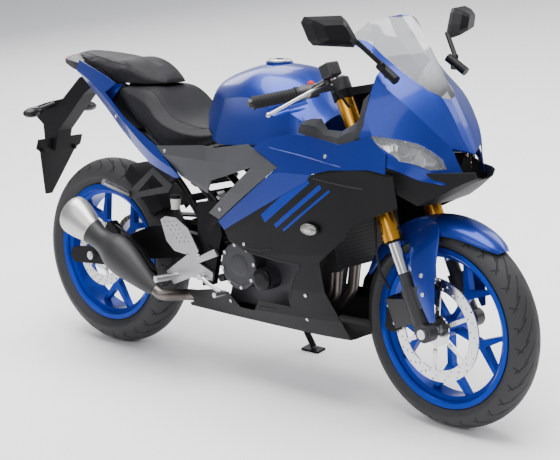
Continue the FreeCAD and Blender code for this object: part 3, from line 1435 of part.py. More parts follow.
# The nose has a frame of its own: X runs down the windscreen's middle line, Z stands on it.
NOSE_TOP = (1.189, 1.150)
NOSE_TILT = 51.34
NOSE = Placement(drawn(NOSE_TOP[0], 0, NOSE_TOP[1]), Rotation(Y_AXIS, NOSE_TILT))
NOSE_SHARES = (
    (-0.040, ((0.0, 0.002), (0.062, -0.010), (0.114, -0.048), (0.150, -0.092), (0.174, -0.114),
              (0.180, -0.124))),
    (0.050, ((0.0, 0.0), (0.062, -0.010), (0.112, -0.044), (0.150, -0.082), (0.176, -0.112),
             (0.186, -0.130))),
    (0.110, ((0.0, 0.0), (0.056, -0.010), (0.102, -0.046), (0.153, -0.076), (0.180, -0.114),
             (0.192, -0.138))),
    (0.180, ((0.0, -0.001), (0.045, -0.010), (0.078, -0.034), (0.154, -0.069), (0.192, -0.122),
             (0.203, -0.152))),
    (0.250, ((0.0, -0.003), (0.034, -0.009), (0.058, -0.021), (0.143, -0.050), (0.203, -0.138),
             (0.214, -0.170))),
    (0.325, ((0.0, -0.010), (0.025, -0.012), (0.050, -0.019), (0.118, -0.040), (0.205, -0.146),
             (0.213, -0.190))),
    (0.370, ((0.0, -0.017), (0.025, -0.019), (0.048, -0.024), (0.098, -0.037), (0.190, -0.132),
             (0.204, -0.168))),
    (0.416, ((0.0, -0.025), (0.020, -0.027), (0.040, -0.031), (0.072, -0.039), (0.152, -0.110),
             (0.176, -0.142))),
    (0.460, ((0.0, -0.034), (0.018, -0.036), (0.036, -0.042), (0.058, -0.055), (0.108, -0.098),
             (0.130, -0.125))),
    (0.512, ((0.0, -0.068), (0.015, -0.069), (0.030, -0.070), (0.045, -0.074), (0.070, -0.100),
             (0.082, -0.118))),
)
SCREEN_OUTLINE_SHARES = ((0.012, 0.0), (0.002, 0.060), (0.000, 0.110), (0.006, 0.140),
                         (0.047, 0.126), (0.098, 0.110), (0.141, 0.094), (0.196, 0.074),
                         (0.244, 0.054), (0.278, 0.026), (0.287, 0.0))
LAMP_OUTLINE_SHARES = ((0.286, 0.208), (0.366, 0.139), (0.430, 0.093), (0.457, 0.084),
                       (0.440, 0.124), (0.385, 0.182), (0.310, 0.209))
INTAKE_OUTLINE_SHARES = ((0.448, 0.0), (0.416, 0.070), (0.462, 0.056), (0.520, 0.044),
                         (0.520, 0.0))
COWL_OUTLINE_SHARES = ((0.004, 0.136), (0.004, 0.250), (0.490, 0.250))
# What lies behind the cowl's rear edge, as (x, z) in the upright bike.
COWL_REAR_SHARES = ((0.900, 1.200), (1.146, 1.200), (1.142, 1.098), (1.112, 1.078), (1.121, 1.074),
                    (1.192, 1.050), (1.224, 1.004), (1.226, 0.860), (1.216, 0.830), (1.190, 0.800),
                    (0.900, 0.800))


def nose_at(u, y, v):
    return Vector(u, y, v)


def nose_tool(outline, grow=0.0):
    """A prism through the nose from an outline of (along, out) shares, on both sides."""
    whole = list(outline) + [(u, -y) for u, y in outline[::-1] if y > 0]
    points = [Vector(u, y, -0.300) * DRAWING for u, y in whole]
    return Part.Face(closed(points)).extrude(Vector(0, 0, 0.400 * DRAWING))


def side_tool(outline):
    points = [Vector(u, -y, -0.300) * DRAWING for u, y in outline]
    right = Part.Face(closed(points)).extrude(Vector(0, 0, 0.400 * DRAWING))
    return [right, mirrored(right)]


def nose_shell():
    stations = []
    for u, half in NOSE_SHARES:
        stations.append((u, [(-y, v) for y, v in half[::-1]] + list(half[1:])))
    return skin(stations, lambda u, y, v: Vector(u, y, v), WALL)


def nose_pieces():
    shell = nose_shell()
    screen_tool = nose_tool(SCREEN_OUTLINE_SHARES)
    lamp_tools = side_tool(LAMP_OUTLINE_SHARES)
    intake_tool = nose_tool(INTAKE_OUTLINE_SHARES)
    place = LEANED.multiply(NOSE)
    behind = drawn_slab(COWL_REAR_SHARES, -DEPTH, 2 * DEPTH)
    behind.Placement = NOSE.inverse().multiply(behind.Placement)
    cowl = shell.common(nose_tool(COWL_OUTLINE_SHARES))
    cowl = cowl.cut([screen_tool, intake_tool, behind] + lamp_tools)
    feature("nose_cowl", solids(cowl), place)
    screen = shell.common(screen_tool)
    feature("windscreen", solids(screen), place)
    lamps = [shell.common(tool).Solids[0] for tool in lamp_tools]
    feature("headlights", Part.makeCompound(lamps), place)


def chin():
    stations = []
    for x, half, top, floor in ((1.290, 0.172, 0.736, 0.662), (1.345, 0.152, 0.736, 0.636),
                                (1.400, 0.118, 0.736, 0.668), (1.450, 0.080, 0.738, 0.700),
                                (1.480, 0.048, 0.738, 0.716)):
        line = [(half, top), (half * 0.8, floor + 0.006), (half * 0.3, floor), (0.0, floor)]
        whole = line + [(-y, z) for y, z in line[-2::-1]]
        stations.append((x, whole))
    shape = fitted(skin(stations, across, WALL, True), LEANED, "nose_cowl", "lower_fairings",
                   "shoulder_panels", "headlights")
    return feature("nose_intake", largest(shape), LEANED)


PANEL_PLACE = (1.200, 0, 0.995)


def instrument_panel():
    shape = Part.makeBox(0.030 * DRAWING, 0.150 * DRAWING, 0.080 * DRAWING,
                         Vector(-0.015, -0.075, -0.040) * DRAWING)
    shape.Placement = Placement(drawn(*PANEL_PLACE), Rotation(Y_AXIS, 35.0))
    return feature("instrument_panel", shape, LEANED)


MIRROR_STEM_SHARES = ((1.262, -0.150, 0.990), (1.255, -0.168, 1.022), (1.197, -0.206, 1.084))
MIRROR_PAD_SHARES = ((1.238, -0.156, 1.020), (1.298, -0.160, 0.982))
MIRROR_PLACE = (1.1655, -0.285, 1.112)
MIRROR_TOE = -20.0
# The head's outline in its own frame, (left, up), and its sections as (ahead, share of it).
MIRROR_OUTLINE_SHARES = ((-0.087, 0.028), (-0.078, 0.042), (0.034, 0.042), (0.051, 0.028),
                         (0.074, -0.006), (0.087, -0.028), (0.074, -0.044), (-0.051, -0.034),
                         (-0.065, -0.020))
MIRROR_SECTION_SHARES = ((0.000, 0.94), (0.010, 1.00), (0.034, 0.80), (0.052, 0.48))


def mirror_head():
    wires = []
    for ahead, share in MIRROR_SECTION_SHARES:
        points = [drawn(ahead, y * share, z * share) for y, z in MIRROR_OUTLINE_SHARES]
        wires.append(closed(points))
    head = loft(wires, True)
    head.Placement = Placement(drawn(*MIRROR_PLACE), Rotation(Z_AXIS, MIRROR_TOE))
    return head


def mirrors():
    foot, knee, top = [drawn(*point) for point in MIRROR_STEM_SHARES]
    stem = rod(foot, knee, 0.009 * DRAWING).fuse([rod(knee, top, 0.007 * DRAWING),
                                                  Part.makeSphere(0.009 * DRAWING, knee)])
    pad = rod(*[drawn(*point) for point in MIRROR_PAD_SHARES], 0.013 * DRAWING)
    whole = mirror_head().fuse([stem, pad])
    right = largest(fitted(whole, LEANED, "nose_cowl", "windscreen"))
    return feature("mirrors", pair(right), LEANED)


# Inner trims between the cowl, the shoulder panels and the tank: lines from the outside in.
TRIM_SHARES = (
    (0.975, ((0.190, 0.818), (0.180, 0.840), (0.166, 0.848))),
    (1.010, ((0.194, 0.812), (0.184, 0.842), (0.168, 0.858))),
    (1.044, ((0.196, 0.802), (0.186, 0.838), (0.168, 0.860))),
    (1.070, ((0.197, 0.799), (0.186, 0.818), (0.170, 0.832))),
    (1.120, ((0.199, 0.796), (0.188, 0.816), (0.170, 0.832))),
    (1.150, ((0.201, 0.802), (0.190, 0.830), (0.172, 0.848))),
    (1.184, ((0.203, 0.812), (0.193, 0.840), (0.176, 0.866))),
    (1.203, ((0.205, 0.822), (0.196, 0.880), (0.180, 0.925))),
    (1.226, ((0.205, 0.830), (0.198, 0.900), (0.182, 0.945))),
)


def inner_trims():
    shell = skin([(x, [(-y, z) for y, z in line]) for x, line in TRIM_SHARES], across,
                 WALL, True)
    right = largest(fitted(shell, LEANED, "nose_cowl", "shoulder_panels", "lower_fairings",
                           "fuel_tank", "headlights"))
    return feature("inner_trims", pair(right), LEANED)


BRACKET_SHARES = ((0.605, 0.425), (0.620, 0.405), (0.540, 0.372), (0.600, 0.350), (0.598, 0.326),
                  (0.505, 0.322), (0.427, 0.288), (0.395, 0.325), (0.430, 0.350), (0.480, 0.385),
                  (0.500, 0.400), (0.545, 0.395))
GUARD_PLATE_SHARES = ((0.379, 0.489), (0.400, 0.502), (0.448, 0.503), (0.501, 0.476),
                      (0.546, 0.411), (0.535, 0.396), (0.482, 0.394), (0.440, 0.398),
                      (0.405, 0.425))


def guard_slots():
    """Places of the heel guard's holes, in three slanted rows."""
    places = []
    for row in range(3):
        for step in range(6):
            places.append((0.403 + row * 0.020 + step * 0.013, 0.480 + row * 0.004 - step * 0.011))
    return places


def footrests():
    """Rider footrest brackets with heel guards and pegs, and the pillion's brackets."""
    start = -0.1485 * DRAWING
    bracket = drawn_slab(BRACKET_SHARES, start - 10.0, 10.0)
    guard = drawn_slab(GUARD_PLATE_SHARES, start - 17.0, 3.0)
    slots = [rod(drawn(x - 0.004, -0.200, z + 0.004), drawn(x - 0.004, -0.140, z + 0.004), 2.2)
             for x, z in guard_slots()]
    guard = guard.cut(slots)
    post = rod(drawn(0.500, -0.1500, 0.396), drawn(0.500, -0.1655, 0.400), 0.006 * DRAWING)
    peg = rod(drawn(0.440, -0.155, 0.318), drawn(0.425, -0.235, 0.316), 0.011 * DRAWING)
    rider = bracket.fuse([guard, post, peg])
    arm = drawn_slab(((0.333, 0.648), (0.420, 0.600), (0.400, 0.575), (0.225, 0.535),
                      (0.200, 0.545)), -0.150 * DRAWING, 8.0)
    slot = drawn_slab(((0.330, 0.625), (0.380, 0.592), (0.262, 0.562)), -0.160 * DRAWING, 30.0)
    lug = rod(drawn(0.400, -0.100, 0.613), drawn(0.390, -0.148, 0.600), 0.008 * DRAWING)
    rest = rod(drawn(0.222, -0.146, 0.546), drawn(0.205, -0.245, 0.600), 0.009 * DRAWING)
    pillion = arm.cut(slot).fuse([rest, lug])
    parts = [rider, pillion, mirrored(rider), mirrored(pillion)]
    whole = [largest(fitted(part, LEANED, "main_frame", "tail_panels")) for part in parts]
    return feature("footrests", Part.makeCompound(whole), LEANED)


def pedals():
    """The brake pedal on the right and the shift lever on the left."""
    route = [drawn(0.560, -0.172, 0.335), drawn(0.600, -0.176, 0.318), drawn(0.660, -0.180, 0.300)]
    lever = pipe(route, 0.006 * DRAWING, 0.03 * DRAWING)
    toe = rod(drawn(0.660, -0.170, 0.300), drawn(0.660, -0.215, 0.300), 0.008 * DRAWING)
    pivot = rod(drawn(0.560, -0.1590, 0.335), drawn(0.560, -0.180, 0.335), 0.010 * DRAWING)
    right = lever.fuse([toe, pivot])
    return feature("pedals", pair(right), LEANED)


def tail_light():
    shape = profile_solid((
        (-0.185, (((0.0, 0.966), (0.040, 0.962), (0.060, 0.955)), ((0.060, 0.955), (0.058, 0.940)))),
        (-0.150, (((0.0, 0.956), (0.045, 0.955), (0.066, 0.950)), ((0.066, 0.950), (0.060, 0.925)))),
        (-0.110, (((0.0, 0.948), (0.045, 0.947), (0.066, 0.945)), ((0.066, 0.945), (0.060, 0.915)))),
    ))
    return feature("tail_light", shape, LEANED)


PLATE_ARM_SHARES = ((-0.060, 0.880), (-0.100, 0.905), (-0.150, 0.890), (-0.240, 0.812),
                    (-0.330, 0.792), (-0.385, 0.775), (-0.385, 0.738), (-0.350, 0.715),
                    (-0.342, 0.640), (-0.290, 0.625), (-0.268, 0.700), (-0.215, 0.752),
                    (-0.130, 0.835))


# The licence plate's own frame: Z up its face, X forward through it. Its hanger's outline is in
# shares of the face's width and height.
PLATE_PLACE = (-0.331, 0.5675)
PLATE_TILT = 19.7
PLATE = Placement(drawn(PLATE_PLACE[0], 0, PLATE_PLACE[1]), Rotation(Y_AXIS, PLATE_TILT))
PLATE_FACE_SHARES = ((-0.50, 0.50), (-0.50, 0.34), (-0.40, 0.28), (-0.075, -0.50), (0.075, -0.50),
                     (0.40, 0.28), (0.50, 0.34), (0.50, 0.50))


def plate_bracket():
    """The licence plate's hanger, a wedge with the two bolt holes of the plate."""
    arm = drawn_slab(PLATE_ARM_SHARES, -0.030 * DRAWING, 0.060 * DRAWING)
    wide, high, thick = size("PlateFaceWidth"), size("PlateFaceHeight"), size("PlateFaceWall")
    points = [Vector(-thick, y * wide, z * high) for y, z in PLATE_FACE_SHARES]
    face = Part.Face(closed(points)).extrude(Vector(thick, 0, 0))
    depth = size("PlateBossDepth")
    rise = high * PLATE_BOLT_RISE_SHARE
    bosses, holes = [], []
    for side in (-1, 1):
        spot = Vector(-thick, side * size("PlateBoltSpacing") / 2, rise)
        bosses.append(Part.makeCylinder(size("PlateBoltRadius") * 2.2, depth, spot, X_AXIS))
        holes.append(Part.makeCylinder(size("PlateBoltRadius"), depth + 2 * OVERRUN,
                                       spot - X_AXIS * OVERRUN, X_AXIS))
    board = face.fuse(bosses).cut(holes)
    board.Placement = PLATE
    shape = largest(fitted(arm.fuse(board), LEANED, "main_frame", "pillion_seat", "tail_light"))
    return feature("plate_bracket", shape, LEANED)


PLATE_BOLT_RISE_SHARE = 0.3


def turn_signals():
    lamp = Part.makeSphere(1.0)
    scale = FreeCAD.Matrix()
    scale.scale(0.024 * DRAWING, 0.040 * DRAWING, 0.018 * DRAWING)
    lamp = lamp.transformGeometry(scale)
    lamp.Placement = Placement(drawn(-0.290, -0.120, 0.770), Rotation(X_AXIS, 6.0))
    stalk = rod(drawn(-0.285, -0.0305, 0.790), drawn(-0.290, -0.110, 0.772), 0.009 * DRAWING)
    rear = lamp.fuse(stalk)
    front = Part.makeSphere(1.0)
    scale = FreeCAD.Matrix()
    scale.scale(0.034 * DRAWING, 0.010 * DRAWING, 0.018 * DRAWING)
    front = front.transformGeometry(scale)
    front.Placement = Placement(drawn(1.045, -0.222, 0.554), Rotation())
    rear = largest(fitted(rear, LEANED, "plate_bracket"))
    front = largest(fitted(front, LEANED, "lower_fairings"))
    parts = [rear, mirrored(rear), front, mirrored(front)]
    return feature("turn_signals", Part.makeCompound(parts), LEANED)


def rear_caliper():
    shape = caliper(size("CaliperLength") * 0.7, size("CaliperDepth") * 0.9,
                    30.0, size("CaliperSlot"), size("CaliperDepth") * 0.30)
    angle = 50.0
    turn = math.radians(angle)
    middle = size("RearDiscRadius")
    centre = Vector(middle * math.cos(turn), -REAR_DISC_LINE, REAR_RADIUS + middle * math.sin(turn))
    shape.Placement = Placement(centre, Rotation(Y_AXIS, -angle))
    return feature("rear_caliper", shape, LEANED)


# Bars that carry the bodywork: start, end and radius in shares. Each runs from inside the piece
# that carries it to inside or beyond the piece that it carries.
SEAT_STAYS = (
    ((0.420, -0.110, 0.667), (0.420, -0.110, 0.750), 0.008),
    ((0.300, -0.094, 0.722), (0.300, -0.094, 0.800), 0.008),
    ((0.100, -0.060, 0.815), (0.100, -0.060, 0.930), 0.008),
    ((-0.040, -0.051, 0.872), (-0.040, -0.051, 0.965), 0.008),
    ((-0.052, -0.044, 0.876), (-0.140, -0.044, 0.935), 0.006),
)
PANEL_STAYS = (
    ((0.900, -0.125, 0.680), (0.900, -0.226, 0.660), 0.007),
    ((0.930, -0.095, 0.500), (0.930, -0.220, 0.500), 0.007),
    ((0.750, -0.085, 0.275), (0.750, -0.085, 0.180), 0.007),
    ((0.720, -0.139, 0.600), (0.720, -0.214, 0.600), 0.006),
    ((0.470, -0.116, 0.637), (0.470, -0.192, 0.690), 0.006),
    ((0.240, -0.085, 0.750), (0.240, -0.170, 0.762), 0.006),
    ((0.000, -0.054, 0.8556), (0.000, -0.112, 0.905), 0.006),
)
CARRIED = ("main_frame", "engine", "rider_seat", "pillion_seat", "tail_light", "tail_panels",
           "side_covers", "shoulder_panels", "lower_fairings", "belly_pan", "nose_cowl",
           "headlights", "windscreen", "nose_intake", "instrument_panel", "fuel_tank", "mirrors")


def between(start, end, radius):
    """The free middle part of a bar whose ends lie in or beyond its neighbours."""
    bar = fitted(rod(drawn(*start), drawn(*end), radius * DRAWING), LEANED, *CARRIED)
    return largest(bar) if bar.Solids else None


def stays(label, table):
    bars = [between(*row) for row in table]
    bars += [mirrored(bar) for bar in bars]
    return feature(label, Part.makeCompound(bars), LEANED)


def nose_stay():
    """The nose's carrier: an arm on the steering head with a cross tube and two branches."""
    hub = drawn(1.255, 0, 0.865)
    arm = rod(drawn(1.105, 0, 0.817), hub, 0.011 * DRAWING)
    cross = rod(drawn(1.255, -0.225, 0.865), drawn(1.255, 0.225, 0.865), 0.008 * DRAWING)
    panel = rod(hub, drawn(*PANEL_PLACE), 0.008 * DRAWING)
    chin_bar = rod(hub, drawn(1.330, 0, 0.630), 0.008 * DRAWING)
    shape = largest(fitted(arm.fuse([cross, panel, chin_bar]), LEANED, *CARRIED))
    return feature("nose_stay", shape, LEANED)


# Side stand
STAND_FOOT = (0.668, 0.232)


def ground_height(y):
    """Height, in the upright bike, of the ground that it leans on."""
    return y * math.tan(LEAN) - LIFT / math.cos(LEAN)


def side_stand():
    pivot = drawn(*STAND_PIVOT)
    foot_y = STAND_FOOT[1] * DRAWING
    foot = Vector(STAND_FOOT[0] * DRAWING, foot_y, ground_height(foot_y))
    on_ground = LEANED.multVec(foot)
    plate = Part.makeBox(size("StandFootLength"), size("StandFootWidth"),
                         size("StandFootThickness"),
                         on_ground - Vector(size("StandFootLength") / 2,
                                            size("StandFootWidth") / 2, 0))
    plate.Placement = LEANED.inverse()
    leg = rod(pivot, foot + Vector(0, 0, size("StandLegRadius") * 1.3), size("StandLegRadius"))
    half = STAND_AXIS * size("StandKnuckleHalf")
    knuckle = rod(pivot - half, pivot + half, size("StandKnuckleRadius"))
    hole = rod(pivot - half * 3, pivot + half * 3, size("StandPinRadius") + STAND_PIN_PLAY)
    return feature("side_stand", leg.fuse([plate, knuckle]).cut(hole), LEANED)


feature("pillion_seat", cushion(PILLION_SHARES), LEANED)
feature("rider_seat", largest(fitted(cushion(RIDER_SHARES), LEANED, "pillion_seat", "main_frame")),
        LEANED)
fuel_tank()
fuel_cap()
nose_pieces()
side_panel("side_covers", COVER_SHARES, COVER_OUTLINE_SHARES)
side_panel("tail_panels", TAIL_SHARES, TAIL_OUTLINE_SHARES, "side_covers")
side_panel("shoulder_panels", FAIRING_SHARES, SHOULDER_OUTLINE_SHARES, "nose_cowl", "headlights")
side_panel("lower_fairings", FAIRING_SHARES, LOWER_OUTLINE_SHARES, "nose_cowl", "headlights")
belly()
chin()
inner_trims()
instrument_panel()
mirrors()
footrests()
pedals()
tail_light()
plate_bracket()
turn_signals()
rear_caliper()
stays("seat_stays", SEAT_STAYS)
stays("panel_stays", PANEL_STAYS)
nose_stay()
side_stand()


# Origin, checks and files


def corners(items):
    """Lowest and highest corner of the pieces' fine meshes."""
    low = [math.inf] * 3
    high = [-math.inf] * 3
    for item in items:
        for point in item.Shape.tessellate(MESH_STEP)[0]:
            for axis, value in enumerate((point.x, point.y, point.z)):
                low[axis] = min(low[axis], value)
                high[axis] = max(high[axis], value)
    return Vector(*low), Vector(*high)


MESH_STEP = 0.5


def checked(items):
    """Stops at the first object that failed or has no valid solid."""
    for item in doc.Objects:
        if "Invalid" in item.State or "Error" in item.State:
            raise RuntimeError("%s failed: %s" % (item.Label, item.State))
    for item in items:
        if item.Shape.isNull() or not item.Shape.isValid() or not item.Shape.Solids:
            raise RuntimeError("%s has no valid solid" % item.Label)


doc.recompute()
checked(NODES)
low, high = corners(NODES)
SHIFT = Placement(Vector(-(low.x + high.x) / 2, -(low.y + high.y) / 2, -low.z), Rotation())
for item in NODES:
    item.Placement = SHIFT.multiply(item.Placement)
doc.recompute()
checked(NODES)

os.makedirs("parts", exist_ok=True)
for item in NODES:
    item.Shape.exportStep("parts/%s.step" % item.Label)


def report(name, placement, point, direction=None):
    """Prints a point of interest in the finished part's frame, with its direction."""
    whole = SHIFT.multiply(placement)
    place = whole.multVec(point)
    text = "%s %.3f %.3f %.3f" % (name, place.x, place.y, place.z)
    if direction is not None:
        turned = whole.Rotation.multVec(direction)
        text += " direction %.6f %.6f %.6f" % (turned.x, turned.y, turned.z)
    print(text)


report("steering", STEERED, Vector(), Z_AXIS)
report("front_wheel", FRONT_WHEEL, Vector(), Y_AXIS)
report("rear_wheel", REAR_WHEEL, Vector(), Y_AXIS)
report("side_stand", LEANED, drawn(*STAND_PIVOT), STAND_AXIS)
report("fuel_cap", LEANED.multiply(filler_frame()),
       Vector(size("CapRadius"), 0, size("CapThickness") / 2), Y_AXIS)
report("fuel_filler", LEANED.multiply(filler_frame()), Vector(), Z_AXIS)
plate_spot = Vector(-size("PlateFaceWall"), size("PlateBoltSpacing") / 2,
                    size("PlateFaceHeight") * PLATE_BOLT_RISE_SHARE)
report("plate_left", LEANED.multiply(PLATE), plate_spot, X_AXIS * -1)
plate_spot.y = -plate_spot.y
report("plate_right", LEANED.multiply(PLATE), plate_spot, X_AXIS * -1)
report("stem_bore", STEERED, Vector(0, 0, size("LowerYokeHeight")), Z_AXIS * -1)
print("size", high - low)
print("shift", SHIFT.Base)
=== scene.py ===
"""Finishes, seats, lamps, fasteners and stage of a sport bike, built around its CAD frame."""

import json
import math

import bmesh
import bpy
from bpy.props import (FloatProperty, FloatVectorProperty, IntProperty, PointerProperty)
from mathutils import Matrix, Vector
from mathutils.bvhtree import BVHTree

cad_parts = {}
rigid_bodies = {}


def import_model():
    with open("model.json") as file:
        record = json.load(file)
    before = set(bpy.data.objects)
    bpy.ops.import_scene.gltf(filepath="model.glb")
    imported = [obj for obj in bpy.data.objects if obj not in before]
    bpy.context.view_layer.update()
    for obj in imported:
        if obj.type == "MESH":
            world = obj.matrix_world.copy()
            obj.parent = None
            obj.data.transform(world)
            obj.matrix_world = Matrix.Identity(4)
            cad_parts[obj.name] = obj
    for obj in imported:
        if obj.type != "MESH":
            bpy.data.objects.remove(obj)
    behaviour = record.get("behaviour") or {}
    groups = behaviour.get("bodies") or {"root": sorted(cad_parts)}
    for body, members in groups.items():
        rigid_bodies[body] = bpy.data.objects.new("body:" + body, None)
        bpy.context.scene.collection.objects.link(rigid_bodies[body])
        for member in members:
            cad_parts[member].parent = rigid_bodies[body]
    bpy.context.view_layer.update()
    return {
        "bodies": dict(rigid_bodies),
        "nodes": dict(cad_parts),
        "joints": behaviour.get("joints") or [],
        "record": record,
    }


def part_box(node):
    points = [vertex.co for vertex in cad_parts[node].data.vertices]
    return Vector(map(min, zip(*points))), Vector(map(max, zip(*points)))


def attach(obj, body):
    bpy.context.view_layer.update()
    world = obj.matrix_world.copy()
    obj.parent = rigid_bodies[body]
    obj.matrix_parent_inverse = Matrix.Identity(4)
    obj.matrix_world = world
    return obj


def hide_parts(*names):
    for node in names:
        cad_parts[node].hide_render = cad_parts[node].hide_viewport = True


bl_info = {
    "name": "Sport bike",
    "version": (1, 0, 0),
    "blender": (4, 5, 0),
    "location": "3D View > Sidebar > Sport bike",
    "description": "Finishes, seats, lamps and fasteners of a sport bike",
    "category": "Object",
}

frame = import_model()
NODES = frame["nodes"]
JOINTS = {joint["name"]: joint for joint in frame["record"]["behaviour"]["joints"]}

# The upright bike: X forward from the rear axle, Y to the rider's left, Z up from the ground.
REAR_RADIUS = 0.314
FRONT_RADIUS = 0.293


def joint_place(name):
    """The point on a joint's axis."""
    return Vector(JOINTS[name]["pos_m"])


def joint_axis(name):
    """The direction of a joint's axis."""
    return Vector(JOINTS[name]["axis"]).normalized()


def wheel_frame(joint):
    """Y along the axle, Z as near up as it can be, origin at the hub."""
    side = joint_axis(joint)
    ahead = side.cross(Vector((0, 0, 1))).normalized()
    up = ahead.cross(side)
    turned = Matrix((ahead, side, up)).transposed().to_4x4()
    return Matrix.Translation(joint_place(joint)) @ turned


def fork_frame():
    """Z up the steering axis, Y along the front axle, X ahead."""
    up = joint_axis("steering")
    side = joint_axis("front_wheel_spin")
    ahead = side.cross(up).normalized()
    turned = Matrix((ahead, up.cross(ahead), up)).transposed().to_4x4()
    return Matrix.Translation(joint_place("steering")) @ turned


REAR_AXLE = joint_axis("rear_wheel_spin")
LEAN = Matrix.Rotation(math.atan2(REAR_AXLE.z, REAR_AXLE.y), 4, "X")
BIKE = (Matrix.Translation(joint_place("rear_wheel_spin")) @ LEAN
        @ Matrix.Translation((0, 0, -REAR_RADIUS)))
FORK = fork_frame()
# The nose's own frame: X down the windscreen's middle line, Z out of it.
NOSE = (BIKE @ Matrix.Translation((1.189, 0, 1.150))
        @ Matrix.Rotation(math.radians(51.34), 4, "Y"))


BIKE_AXES = [Vector(BIKE.col[axis][:3]) for axis in range(3)]
FORK_AXES = [Vector(FORK.col[axis][:3]) for axis in range(3)]
AHEAD, LEFTWARD, UPWARD = BIKE_AXES
SIDES = ((-1, "right"), (1, "left"))


def at(x, y, z):
    """A point of the upright bike in the leaning bike's frame."""
    return BIKE @ Vector((x, y, z))


def bike_way(x, y, z):
    """A direction of the upright bike in the leaning bike's frame."""
    return BIKE.to_3x3() @ Vector((x, y, z))


class SportBikeSizes(bpy.types.PropertyGroup):
    paint: FloatVectorProperty(
        name="Body paint", description="Colour of the painted body panels and rims",
        subtype="COLOR", size=3, min=0, max=1, default=(0.002, 0.020, 0.215))
    trim: FloatVectorProperty(
        name="Black panels", description="Colour of the satin black panels",
        subtype="COLOR", size=3, min=0, max=1, default=(0.0040, 0.0040, 0.0045))
    cover: FloatVectorProperty(
        name="Grey covers", description="Colour of the satin side covers",
        subtype="COLOR", size=3, min=0, max=1, default=(0.034, 0.035, 0.039))
    gold: FloatVectorProperty(
        name="Fork tubes", description="Colour of the anodised outer fork tubes",
        subtype="COLOR", size=3, min=0, max=1, default=(0.70, 0.33, 0.035))
    bolt_radius: FloatProperty(
        name="Bolt radius", description="Radius of a panel bolt's head",
        subtype="DISTANCE", unit="LENGTH", default=0.0055, min=0.002)
    bolt_height: FloatProperty(
        name="Bolt height", description="Height of a panel bolt's head",
        subtype="DISTANCE", unit="LENGTH", default=0.0034, min=0.001)
    tread_pitch_count: IntProperty(
        name="Tread blocks", description="Number of tread repeats around a tyre",
        default=30, min=8)
    seat_voxel: FloatProperty(
        name="Seat mesh size", description="Edge length of the seats' mesh before it swells",
        subtype="DISTANCE", unit="LENGTH", default=0.006, min=0.003)
    seat_swell: FloatProperty(
        name="Seat swell", description="How far the seat foam may swell",
        subtype="DISTANCE", unit="LENGTH", default=0.006, min=0.0)


def sizes():
    """The add-on's sizes, as the scene holds them."""
    return bpy.context.scene.sport_bike_sizes


# Distance within which a node's loose corners are merged
MERGE = 0.00005
# How far beside the bike a line starts that looks for a surface, and the least it may reach
BESIDE = 0.6
NEAR_SIDE = 0.46
# Height above the seats where such a line starts
ABOVE_SEATS = 1.3


# Shader maths


class Value:
    """A socket of a material, with arithmetic."""

    def __init__(self, finish, socket):
        self.finish = finish
        self.socket = socket

    def math(self, operation, *others):
        """The value and others put through a math node."""
        inputs = {0: self}
        inputs.update({i + 1: other for i, other in enumerate(others)})
        return self.finish.node("ShaderNodeMath", {"operation": operation}, inputs)

    def swapped(self, operation, other):
        """The same with the value second."""
        return self.finish.node("ShaderNodeMath", {"operation": operation}, {0: other, 1: self})

    def __add__(self, other):
        return self.math("ADD", other)

    __radd__ = __add__

    def __sub__(self, other):
        return self.math("SUBTRACT", other)

    def __rsub__(self, other):
        return self.swapped("SUBTRACT", other)

    def __mul__(self, other):
        return self.math("MULTIPLY", other)

    __rmul__ = __mul__

    def __truediv__(self, other):
        return self.math("DIVIDE", other)

    def __rtruediv__(self, other):
        return self.swapped("DIVIDE", other)

    def __abs__(self):
        return self.math("ABSOLUTE")

    def most(self, other):
        return self.math("MAXIMUM", other)

    def part(self):
        return self.math("FRACT")

    def step(self, low, high):
        """0 below low, 1 above high, smooth between. Turned round where low is above high."""
        return self.finish.node(
            "ShaderNodeMapRange", {"interpolation_type": "SMOOTHSTEP"},
            {"Value": self, "From Min": low, "From Max": high, "To Min": 0.0, "To Max": 1.0})


